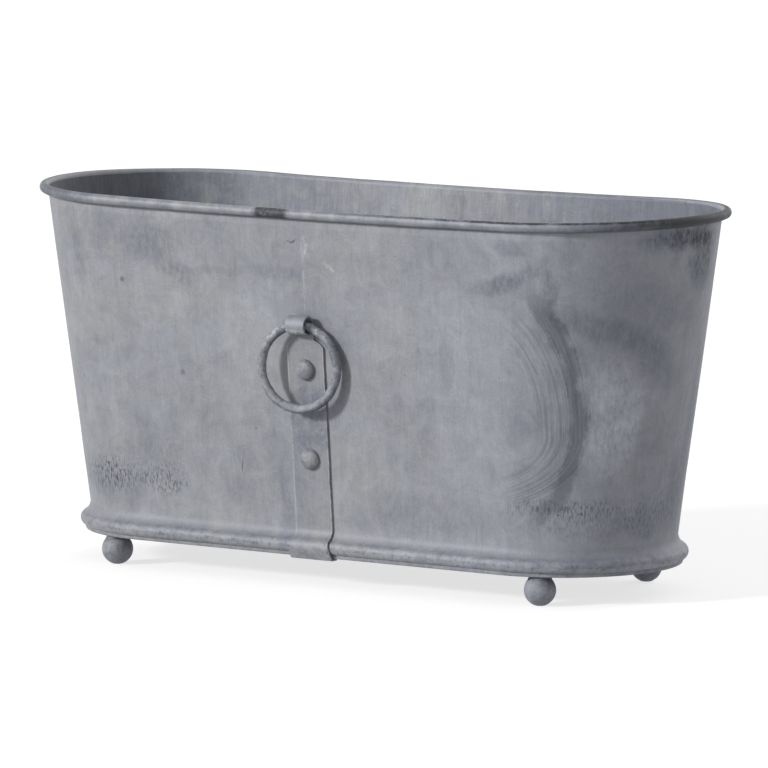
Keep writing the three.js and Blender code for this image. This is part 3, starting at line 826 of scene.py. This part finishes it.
# %% [markdown]
# ## Walls
#
# Each wall is one sheet. The tree sweeps its outer face only, and a Solidify modifier gives the face the
# sheet's thickness inwards, which also closes its edges. The dents are a fraction of a millimetre. At the
# front and the back the right sheet has a tongue that steps in and lies behind the left sheet's edge.

# %% Sweep the two walls
DENT = 1.1 * MM
oval_sizes = {"foot_length": foot_half[0], "foot_width": foot_half[1], "top_length": top_half[0],
              "top_width": top_half[1], "rim_dip": RIM_DIP}
wall_line = section_object("wall_line", wall_section())


def swept(name, stations, section, material, dent=0.0, **plan):
    piece = linked(name, plan_mesh(name, stations, **plan))
    shape_modifier(piece, sweep, section=section, dent=dent, material=material, **oval_sizes)
    return piece


def thickened(piece, thickness, offset):
    sheet = piece.modifiers.new("sheet", "SOLIDIFY")
    sheet.thickness = thickness
    sheet.offset = offset
    sheet.use_even_offset = True
    return piece


def line_inside(piece, material):
    """Gives the faces that look towards the trough's middle the inside's finish."""
    piece.data.materials.append(material)
    lining = len(piece.data.materials) - 1
    for face in piece.data.polygons:
        spine = max(-foot_straight, min(foot_straight, face.center.x))
        outward = Vector((face.center.x - spine, face.center.y))
        if outward.dot(face.normal.xy) < 0 and face.center.z < roll_height:
            face.material_index = lining


for side, hand in (("left", -1), ("right", 1)):
    stations = half_stations(hand, LAP_EDGE + SEAT_GAP / 2)
    wall = swept("sheet_" + side, stations, wall_line, wall_outside, DENT, hand=hand)
    settle(thickened(wall, SHEET, 1), "tub", "wall_zinc", "wall_" + side)
    line_inside(wall, wall_inside)

# %% Sweep the tongues behind the lap
LAP_WIDTH = 19 * MM
LAP_MARGIN = 3 * MM
LAP_STEP = SHEET + SEAT_GAP
JOGGLE = 5 * MM
NEARLY_FLUSH = 0.06 * MM
TONGUE_STEPS = 20

wall_rise = roll_height - flare_top
tongue_rows = [LAP_MARGIN + (wall_rise - 2 * LAP_MARGIN) * i / TONGUE_STEPS for i in range(TONGUE_STEPS + 1)]
tongue_line = section_object("tongue_line", [
    (0, flare_top + rise, rise / wall_rise) for rise in reversed(tongue_rows)])
# Each cut is its distance right of the middle, and how far the sheet is stepped in there.
tongue_cuts = [(LAP_EDGE - LAP_WIDTH, LAP_STEP), (LAP_EDGE + SEAT_GAP, LAP_STEP),
               (LAP_EDGE + JOGGLE / 2, 0.6 * LAP_STEP), (LAP_EDGE + JOGGLE, NEARLY_FLUSH)]
for face, turn, sign in LONG_SIDES:
    cuts = tongue_cuts[::-sign]
    stations = [(x / foot_straight, 90 * sign) for x, step in cuts]
    steps = [step for x, step in cuts]
    tongue = swept("lap_tongue_" + face, stations, tongue_line, wall_inside, inward=steps)
    settle(thickened(tongue, SHEET, 1), "tub", "wall_zinc")

# %% [markdown]
# ## Rim wire and floor pan
#
# The same tree sweeps both, with a plan that closes on itself. The wire's section is a small circle inside
# the roll. The pan's section runs over the floor from its middle to the lip, round the folded hem at the
# lip's foot, up inside it, and back under the floor. It is turned round, so that its faces point outwards.

# %% Sweep the wire and the pan
PAN_SHEET = 0.9 * MM
HEM_HEIGHT = 2.6 * MM
HEM_ROUND = 0.45 * MM
FLOOR_STEPS = 14


def whole_plan():
    return half_stations(1, 0) + half_stations(-1, 0)[1:-1]


def pan_section():
    lip = pan_reach - HEM_ROUND
    fold = pan_reach - PAN_SHEET
    floor = [(-foot_half[1] + (foot_half[1] + lip) * i / FLOOR_STEPS, pan_high.z)
             for i in range(FLOOR_STEPS + 1)]
    lip_top = arc(lip, pan_high.z - HEM_ROUND, HEM_ROUND, 80, 0, 4)
    hem = arc(fold, pan_low.z + PAN_SHEET, PAN_SHEET, 0, -180, 10)
    hem_top = pan_low.z + HEM_HEIGHT
    under = pan_high.z - PAN_SHEET
    rest = [(fold - PAN_SHEET, hem_top), (fold, hem_top), (fold, under), (-foot_half[1], under)]
    return [(out, height, 0) for out, height in reversed(floor + lip_top + hem + rest)]


wire_line = section_object("wire_line", [
    (out, height, 1) for out, height in arc(roll_centre, roll_height, WIRE_RADIUS, 0, 360, 20)])
rim_wire = swept("wire_in_rim", whole_plan(), wire_line, bright_steel, closed=True)
settle(rim_wire, "tub", "bright_steel", "rim_wire")

pan_line = section_object("pan_line", pan_section())
pan = swept("floor_and_hem", whole_plan(), pan_line, base_zinc, closed=True)
settle(pan, "tub", "base_zinc", "floor_pan")
for carrier in section_carriers:
    bpy.data.objects.remove(carrier)

# %% [markdown]
# ## Turned pieces on their places
#
# Ball feet, collars, washers, nuts and rivets are each one shape that repeats. A tree stands copies of a
# turned shape on the points of the piece and makes them real, and then a little noise, which differs from
# place to place, takes the sameness away: a cast ball is pitted, and a rivet head is closed by a hammer.

# %% The tree for repeated shapes
def repeat_tree():
    tree, given = new_shape_tree("repeated", [
        ("Shape", "Object"), ("Unevenness", "Float"), ("Grain", "Float"), ("Ground", "Float"),
        ("Material", "Material")])
    shape = wire(tree, "GeometryNodeObjectInfo", {"Object": given["Shape"], "As Instance": True}, "Geometry")
    copies = wire(tree, "GeometryNodeInstanceOnPoints", {
        "Points": given["Geometry"], "Instance": shape, "Rotation": named(tree, "turn", "FLOAT_VECTOR")})
    real = wire(tree, "GeometryNodeRealizeInstances", {"Geometry": copies})
    position = point_position(tree)
    rough = noise_at(position, given["Grain"], 4, 0.6)
    uneven = pushed(real, (rough - 0.5) * given["Unevenness"])
    x, y, z = split(position)
    above = joined(x, y, maths("MAXIMUM", z, given["Ground"]))
    return finished(moved(uneven, Position=above), given["Material"])


repeated = repeat_tree()
print("tree for repeated shapes:", len(repeated.nodes), "nodes")

# %% Turned shapes and their copies
BELOW_ALL = -1.0


def turned_shape(name, profile, sides=48):
    """A closed turned shape from an (out, up) profile that starts and ends on the axis, or closes."""
    points = []
    for out, height in profile:
        points += [(out * cosine(360 * i / sides), out * sine(360 * i / sides), height)
                   for i in range(sides)]
    return closed_mesh(name, points, ring_faces(len(profile), sides, wrap=profile[0][0] > 0))


def stand_copies(name, mesh, places, material, slot, nodes, unevenness=0.0, grain=200.0, ground=BELOW_ALL):
    """Copies of a shape at places, each a position and a turn in radians about X, Y and Z."""
    shape = linked(name + "_shape", mesh)
    points = mesh_of(name, [position for position, turn in places])
    turns = points.attributes.new("turn", "FLOAT_VECTOR", "POINT")
    for item, (position, turn) in zip(turns.data, places):
        item.vector = turn
    piece = linked(name, points)
    shape_modifier(piece, repeated, shape=shape, unevenness=unevenness, grain=grain, ground=ground,
                   material=material)
    settle(piece, "tub", slot, *nodes)
    bpy.data.objects.remove(shape)


# %% [markdown]
# ## Feet
#
# A cast ball stands under each corner of the pan, with a short collar soldered between. The ball's middle
# height comes from the frame, and its underside is worn flat on the ground. Each foot is turned by another
# angle, so that no two show the same pits.

# %% Balls and collars
CORNERS = ("front_left", "front_right", "back_left", "back_right")
BALL_WEAR = 0.4 * MM
TURN_EACH = 2.1


def at_corners(kind):
    return [f"{kind}_{corner}" for corner in CORNERS]


def node_size(name):
    """A turned node's radius, its lowest and its highest point."""
    low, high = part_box(name)
    return (high.x - low.x) / 2, low.z, high.z


on_ground = []
for number, stud in enumerate(at_corners("foot_stud")):
    low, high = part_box(stud)
    middle = (low + high) / 2
    on_ground.append((Vector((middle.x, middle.y, 0)), (0, 0, TURN_EACH * number)))

ball_radius = node_size("foot_ball_front_right")[0]
ball_middle = ball_radius - BALL_WEAR
ball = turned_shape("ball", [(0, ball_middle - ball_radius)]
                    + arc(0, ball_middle, ball_radius, -88, 88, 44) + [(0, ball_middle + ball_radius)], 72)
stand_copies("ball_feet", ball, on_ground, base_zinc, "base_zinc", at_corners("foot_ball"),
             0.55 * MM, 260, 0.0)

collar_radius, collar_low, collar_high = node_size("foot_collar_front_right")
collar_profile = [(0, ball_middle + ball_radius * 0.7),
                  (collar_radius + 1.2 * MM, ball_middle + ball_radius * 0.72),
                  (collar_radius - 0.3 * MM, ball_middle + ball_radius * 0.86),
                  (collar_radius - 0.6 * MM, collar_high - 2.2 * MM),
                  (collar_radius + 1.0 * MM, collar_high), (0, collar_high)]
stand_copies("foot_collars", turned_shape("collar", collar_profile), on_ground, base_zinc, "base_zinc",
             at_corners("foot_collar"), 0.5 * MM, 330)

# %% [markdown]
# ## What holds the feet
#
# Inside, a threaded stud comes up through the floor at each foot, with a washer and a nut. The thread is a
# row of fine ridges, and the nut has the rounded corners that a real one is chamfered to.

# %% Studs and washers
THREAD_PITCH = 0.8 * MM
THREAD_DEPTH = 0.35 * MM
WASHER_ROUND = 0.3 * MM
stud_radius, stud_low, stud_high = node_size("foot_stud_front_right")
stud_hole = stud_radius + SEAT_GAP


def stud_profile():
    root = stud_radius - THREAD_DEPTH
    profile = [(0, stud_low)]
    for i in range(int((stud_high - stud_low - 1 * MM) / THREAD_PITCH)):
        low = stud_low + i * THREAD_PITCH
        profile += [(root, low), (stud_radius, low + THREAD_PITCH / 2)]
    return profile + [(root, stud_high - 0.5 * MM), (root - THREAD_DEPTH, stud_high), (0, stud_high)]


def washer_profile(radius, low, high):
    return [(stud_hole, low), (radius, low), (radius, high - WASHER_ROUND), (radius - WASHER_ROUND, high),
            (stud_hole + WASHER_ROUND, high), (stud_hole, high - WASHER_ROUND)]


washer = turned_shape("washer", washer_profile(*node_size("foot_washer_front_right")))
stand_copies("foot_studs", turned_shape("stud", stud_profile(), 24), on_ground, bright_steel, "bright_steel",
             at_corners("foot_stud"))
stand_copies("foot_washers", washer, on_ground, bright_steel, "bright_steel", at_corners("foot_washer"))

# %% Nuts
NUT_SIDES = 72
NUT_CORNERS = 1.12  # how far the corners reach before they are cut back, against the flats


def nut_mesh():
    """A hexagon with a hole, whose corners are cut back by a cone, as a chamfered nut's are."""
    low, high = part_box("foot_nut_front_right")
    flats = (high.y - low.y) / 2
    angles = [360 * i / NUT_SIDES for i in range(NUT_SIDES)]
    rows = []
    for level, chamfer in ((low.z, 0.5), (low.z + 0.4 * MM, 0.0), (high.z - 0.7 * MM, 0.0), (high.z, 0.9)):
        reach = flats * NUT_CORNERS - chamfer * MM
        rows.append((level, [min(flats / cosine((angle + 30) % 60 - 30), reach) for angle in angles]))
    rows += [(high.z, [stud_hole] * NUT_SIDES), (low.z, [stud_hole] * NUT_SIDES)]
    points = [(out * cosine(angle), out * sine(angle), level)
              for level, outline in rows for out, angle in zip(outline, angles)]
    return closed_mesh("nut", points, ring_faces(len(rows), NUT_SIDES, wrap=True))


stand_copies("foot_nuts", nut_mesh(), on_ground, bright_steel, "bright_steel", at_corners("foot_nut"))

# %% [markdown]
# ## Straps
#
# A strap is a strip of sheet folded from flat: tucked under the bead, up over the nose and through the
# cove, flat on the wall, and then, narrowed to a tongue, round into an eye. Its side view is a row of
# points; a grid of faces carries that row across the strap's width, which is drawn in at the shoulders, and
# Solidify and Bevel make it metal with softened edges.

# %% A strap's side view
STRAP_THICK = 1.5 * MM
STRAP_HALF = 17 * MM
TUCK_HALF = 19 * MM
TONGUE_HALF = 8.5 * MM
STRAP_TOP = 194.5 * MM
SHOULDER = 4 * MM
EYE_RADIUS = 6 * MM
LOOP_END = -130
TUCK_LENGTH = 6 * MM
TUCK_BEND = 1.2 * MM
TUCK_TURN = -25
TUCK_SPREAD = 9 * MM
FLAT_STEPS = 56
wall_slope = (top_half[1] - foot_half[1]) / (roll_height - RIM_DIP - flare_top)
wall_lean = math.atan(wall_slope)


def side_face(height):
    """How far out the wall's face stands at the middle of a long side."""
    return foot_half[1] + wall_slope * (height - flare_top)


def strap_side():
    """The middle of the strap's thickness, as (out from the trough's middle plane, height) points."""
    off = STRAP_THICK / 2
    nose = foot_half[1] + nose_centre
    wrap = NOSE_RADIUS + SEAT_GAP
    tuck_up = pan_low.z - SEAT_GAP + TUCK_BEND
    lead = wrap - TUCK_BEND
    run = (NOSE_HEIGHT + lead * sine(TUCK_TURN) - tuck_up) / cosine(TUCK_TURN)
    tuck_out = nose + lead * cosine(TUCK_TURN) + run * sine(TUCK_TURN)
    low = [(tuck_out - TUCK_LENGTH * (1 - i / 4), tuck_up - TUCK_BEND - off) for i in range(4)]
    low += arc(tuck_out, tuck_up, TUCK_BEND + off, -90, TUCK_TURN, 6)
    low += arc(nose, NOSE_HEIGHT, wrap + off, TUCK_TURN, COVE_TURN, 16)
    hollow = cove_radius - SEAT_GAP - off
    low += arc(foot_half[1] + cove_radius, flare_top, hollow, 180 + COVE_TURN, 180, 10)[1:]
    loop = arc(eye_out, eye_height, EYE_RADIUS + off, 180, LOOP_END, 40)
    foot, eye = Vector(low[-1]), Vector(loop[0])
    flat = [tuple(foot + (eye - foot) * (i / FLAT_STEPS)) for i in range(1, FLAT_STEPS)]
    return low + flat, loop


def strap_half(height):
    """Half the strap's width: wide at the tuck, straight, and drawn in to the tongue at the shoulders."""
    spread = max(0.0, min(1.0, (NOSE_HEIGHT + TUCK_SPREAD / 2 - height) / TUCK_SPREAD))
    drawn = max(0.0, min(1.0, (height - STRAP_TOP + SHOULDER) / SHOULDER))
    drawn = drawn * drawn * (3 - 2 * drawn)
    return STRAP_HALF + (TUCK_HALF - STRAP_HALF) * spread - (STRAP_HALF - TONGUE_HALF) * drawn


# %% Fold the straps
STRAP_COLUMNS = [-1, -0.96, -0.75, -0.5, -0.25, 0, 0.25, 0.5, 0.75, 0.96, 1]
EDGE_WANDER = 0.25 * MM
TUCK_WANDER = 0.75 * MM
EDGE_SOFTNESS = 0.65 * MM


def strap_mesh(name):
    low, loop = strap_side()
    form = bmesh.new()
    place = form.verts.layers.float_vector.new("place")
    rows = []
    for number, (out, height) in enumerate(low + loop):
        rows.append([])
        for column in STRAP_COLUMNS:
            wander = noise.noise(Vector((column * 2, out * 60, height * 60 + 7)))
            wander *= TUCK_WANDER if height < NOSE_HEIGHT else EDGE_WANDER
            x = strap_half(height) * column + (wander if abs(column) > 0.4 else 0)
            point = form.verts.new((x, -out, height))
            point[place] = (column, height, max(0.0, (number - len(low)) / len(loop)))
            rows[-1].append(point)
    for below, above in zip(rows, rows[1:]):
        for c in range(len(STRAP_COLUMNS) - 1):
            form.faces.new((below[c], below[c + 1], above[c + 1], above[c]))
    mesh = bpy.data.meshes.new(name)
    form.to_mesh(mesh)
    form.free()
    return mesh


for face, turn, sign in LONG_SIDES:
    mesh = strap_mesh("strap_" + face)
    mesh.transform(Matrix.Rotation(turn, 4, "Z"))
    strap = thickened(linked("folded_strap_" + face, mesh), STRAP_THICK, 0)
    bevel = strap.modifiers.new("edges", "BEVEL")
    bevel.width = EDGE_SOFTNESS
    bevel.segments = 3
    bevel.limit_method = "ANGLE"
    bevel.angle_limit = math.radians(50)
    settle(strap, "tub", "strap_zinc", face + "_strap", material=strap_zinc)

# %% [markdown]
# ## Soldered seams
#
# Above each strap the lap's edge is run over with solder and wiped, which leaves a low ragged bead. It is
# made in rows: each row is a flat lens whose width wanders with noise, and the last rows close to a point.

# %% Lay the solder
SEAM_LENS = [(-1, -0.15), (-0.5, 0.10), (0, 0.16), (0.5, 0.10), (1, -0.15), (0, -0.40)]
SEAM_ROWS = 90


def seam_mesh(name, sign):
    low, high = STRAP_TOP - SHOULDER, roll_height - RIM_DIP - ROLL_RADIUS
    count = len(SEAM_LENS)
    points = []
    for i in range(SEAM_ROWS + 1):
        height = low + (high - low) * i / SEAM_ROWS
        taper = min(1.0, 10 * i / SEAM_ROWS, 10 * (1 - i / SEAM_ROWS))
        half = (0.08 + taper * (1.4 + 1.5 * noise.noise(Vector((5, sign, height * 110))))) * MM
        middle_x = LAP_EDGE + noise.noise(Vector((sign, 2, height * 50))) * 0.7 * MM
        points += [(middle_x + across * half, sign * (side_face(height) + lift * MM), height)
                   for across, lift in SEAM_LENS]
    ends = [tuple(range(count)), tuple(range(SEAM_ROWS * count, (SEAM_ROWS + 1) * count))]
    return closed_mesh(name, points, ends + ring_faces(SEAM_ROWS + 1, count))


for face, turn, sign in LONG_SIDES:
    seam = linked("solder_seam_" + face, seam_mesh("solder_seam_" + face, sign))
    settle(seam, "tub", "wall_zinc", material=solder)

# %% [markdown]
# ## Rivets
#
# Each strap is held by two dome-headed rivets, closed over a small washer inside the wall. The heads were
# rounded with a hammer, so the repeated shape gets more unevenness than a turned part would.

# %% Rivet heads, tails and burrs
HEAD_RADIUS = 8.3 * MM
HEAD_HEIGHT = 5.6 * MM
TAIL_RADIUS = 4.6 * MM
TAIL_HEIGHT = 2.2 * MM
SHANK_RADIUS = 3 * MM
BURR_RADIUS = 7 * MM
BURR_THICK = 1.2 * MM
BURR_ROUND = 0.3 * MM
RIVET_HEIGHTS = {"upper": 171 * MM, "lower": 100.5 * MM}
head_seat = STRAP_THICK + 2 * SEAT_GAP
burr_seat = 2 * SHEET + 2 * SEAT_GAP
tail_seat = burr_seat + BURR_THICK + SEAT_GAP


def dome(radius, height, steps=14):
    """A hammered dome is fuller than a cap of a sphere: it falls steeply at its rim, and ends on the axis."""
    side = [(radius * cosine(90 * i / steps), height * sine(90 * i / steps) ** 0.9) for i in range(steps)]
    return side + [(0, height)]


def rivet_profile():
    head = [(out, head_seat + rise) for out, rise in dome(HEAD_RADIUS, HEAD_HEIGHT)]
    tail = [(out, -tail_seat - rise) for out, rise in dome(TAIL_RADIUS, TAIL_HEIGHT)]
    return tail[::-1] + [(SHANK_RADIUS, -tail_seat), (SHANK_RADIUS, head_seat)] + head


def burr_profile():
    hole = SHANK_RADIUS + SEAT_GAP
    edge = BURR_RADIUS - BURR_ROUND
    return [(hole, -burr_seat), (edge, -burr_seat), (BURR_RADIUS, -burr_seat - BURR_ROUND),
            (edge, -burr_seat - BURR_THICK), (hole, -burr_seat - BURR_THICK)]


def on_straps(kind):
    return [f"{face}_{kind}_{level}" for face, turn, sign in LONG_SIDES for level in RIVET_HEIGHTS]


rivet_places = [(Vector((0, sign * side_face(height), height)), (math.pi / 2 + wall_lean, 0, turn))
                for face, turn, sign in LONG_SIDES for height in RIVET_HEIGHTS.values()]
stand_copies("dome_rivets", turned_shape("rivet", rivet_profile()), rivet_places, rivet_zinc, "strap_zinc",
             on_straps("rivet"), 1.5 * MM, 170)
stand_copies("rivet_burrs", turned_shape("burr", burr_profile()), rivet_places, bright_steel, "bright_steel",
             on_straps("burr"), 0.15 * MM, 150)

# %% [markdown]
# ## Rings
#
# A ring is a round bar bent to a circle on an anvil and welded. A tree sweeps the bar round a circle and
# lets its thickness and its line wander by a few tenths of a millimetre. Where it hangs in the eye it has
# to stay slim, so the wandering dies out there.

# %% Forge the rings
BAR_RADIUS = 3.5 * MM
RING_DROP = 0.5 * MM
RING_TURN = math.radians(8)
HAMMERING = 1.3 * MM
ring_radius = (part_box("front_ring")[1].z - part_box("front_ring")[0].z) / 2 - BAR_RADIUS


def circle(tree, points, radius):
    return wire(tree, "GeometryNodeCurvePrimitiveCircle", {"Resolution": points, "Radius": radius})


def ring_tree():
    tree, given = new_shape_tree("forged_ring", [
        ("Ring Radius", "Float"), ("Bar Radius", "Float"), ("Hammering", "Float"), ("Eye Height", "Float"),
        ("Material", "Material")])
    bar = wire(tree, "GeometryNodeCurveToMesh", {
        "Curve": circle(tree, 200, given["Ring Radius"]),
        "Profile Curve": circle(tree, 28, given["Bar Radius"])})
    upright = wire(tree, "GeometryNodeTransform", {"Geometry": bar, "Rotation": (math.pi / 2, 0, 0)})
    position = point_position(tree)
    hammered = summed([(noise_at(position, 75, 2), 1.0), (noise_at(position, 300, 3), 0.5)], 0.0)
    away = remap(split(position)[2], 18 * MM, given["Eye Height"], 1.0, 0.15)
    return finished(pushed(upright, hammered * given["Hammering"] * away), given["Material"])


forged = ring_tree()
for face, turn, sign in LONG_SIDES:
    ring = linked("forged_ring_" + face, mesh_of("forged_ring_" + face, []))
    shape_modifier(ring, forged, ring_radius=ring_radius, bar_radius=BAR_RADIUS, hammering=HAMMERING,
                   eye_height=ring_radius, material=ring_iron)
    hung = Vector((0, sign * eye_out, eye_height - RING_DROP - ring_radius))
    make_plain(ring).transform(Matrix.Translation(hung) @ Matrix.Rotation(turn + RING_TURN, 4, "Z"))
    settle(ring, face + "_ring", "ring_iron", face + "_ring")

# %% [markdown]
# ## Floor, backdrop and light
#
# The planter stands on a plain pale floor under a white sky. Camera rays and mirror rays see white; other
# rays see a softer sky, which fills the shadows. One soft sun from the left, not high, gives the form and
# throws the ring's shadow to the right, and a broad weak one behind keeps the far side readable. At this
# level a colour renders about as light as it is written.

# %% Sky and suns
FILL = 0.44
# Suns: name, strength, azimuth and elevation in degrees, spread in degrees.
SUNS = [("window_light", 2.35, -34, 22, 9), ("back_light", 0.75, 172, 28, 50)]


def seen_rays(tree):
    """1 for rays from the camera, a mirror or glass, and 0 for the rays that only carry light."""
    rays = node(tree, "ShaderNodeLightPath").outputs
    direct = maths("MAXIMUM", Wire(rays["Is Camera Ray"]), Wire(rays["Is Glossy Ray"]))
    return maths("MAXIMUM", direct, Wire(rays["Is Transmission Ray"]))


world = bpy.data.worlds.new("sky")
scene.world = world
world.use_nodes = True
sky = world.node_tree
sky.nodes.clear()
brightness = maths("MULTIPLY_ADD", seen_rays(sky), 1 - FILL, FILL)
node(sky, "ShaderNodeOutputWorld", {"Surface": wire(sky, "ShaderNodeBackground", {
    "Color": (1, 1, 1, 1), "Strength": brightness})})

for name, strength, azimuth, elevation, spread in SUNS:
    sun = bpy.data.lights.new(name, "SUN")
    sun.energy = strength
    sun.angle = math.radians(spread)
    level = cosine(elevation)
    toward = Vector((sine(azimuth) * level, -cosine(azimuth) * level, sine(elevation)))
    linked(name, sun).matrix_world = toward.to_track_quat("Z", "Y").to_matrix().to_4x4()
    print(name, strength, "from", azimuth, "degrees")

# %% Floor
FLOOR_HALF = 7
FLOOR_TONE = 0.45
FLOOR_GLOW = 0.70


def floor_material():
    material, tree, shader = new_material("pale_floor")
    put(shader.inputs["Base Color"], (FLOOR_TONE, FLOOR_TONE, FLOOR_TONE, 1))
    put(shader.inputs["Roughness"], 0.9)
    put(shader.inputs["Specular IOR Level"], 0.0)
    put(shader.inputs["Emission Color"], (1, 1, 1, 1))
    put(shader.inputs["Emission Strength"], seen_rays(tree) * FLOOR_GLOW)
    return material


floor = linked("pale_floor", mesh_of("pale_floor", [
    (-FLOOR_HALF, -FLOOR_HALF, 0), (FLOOR_HALF, -FLOOR_HALF, 0),
    (FLOOR_HALF, FLOOR_HALF, 0), (-FLOOR_HALF, FLOOR_HALF, 0)], [(0, 1, 2, 3)]))
floor.data.materials.append(floor_material())
print("floor", 2 * FLOOR_HALF, "m square")

# %% [markdown]
# ## Finish
#
# Last, the view layer is brought up to date.

# %% Finish
bpy.context.view_layer.update()
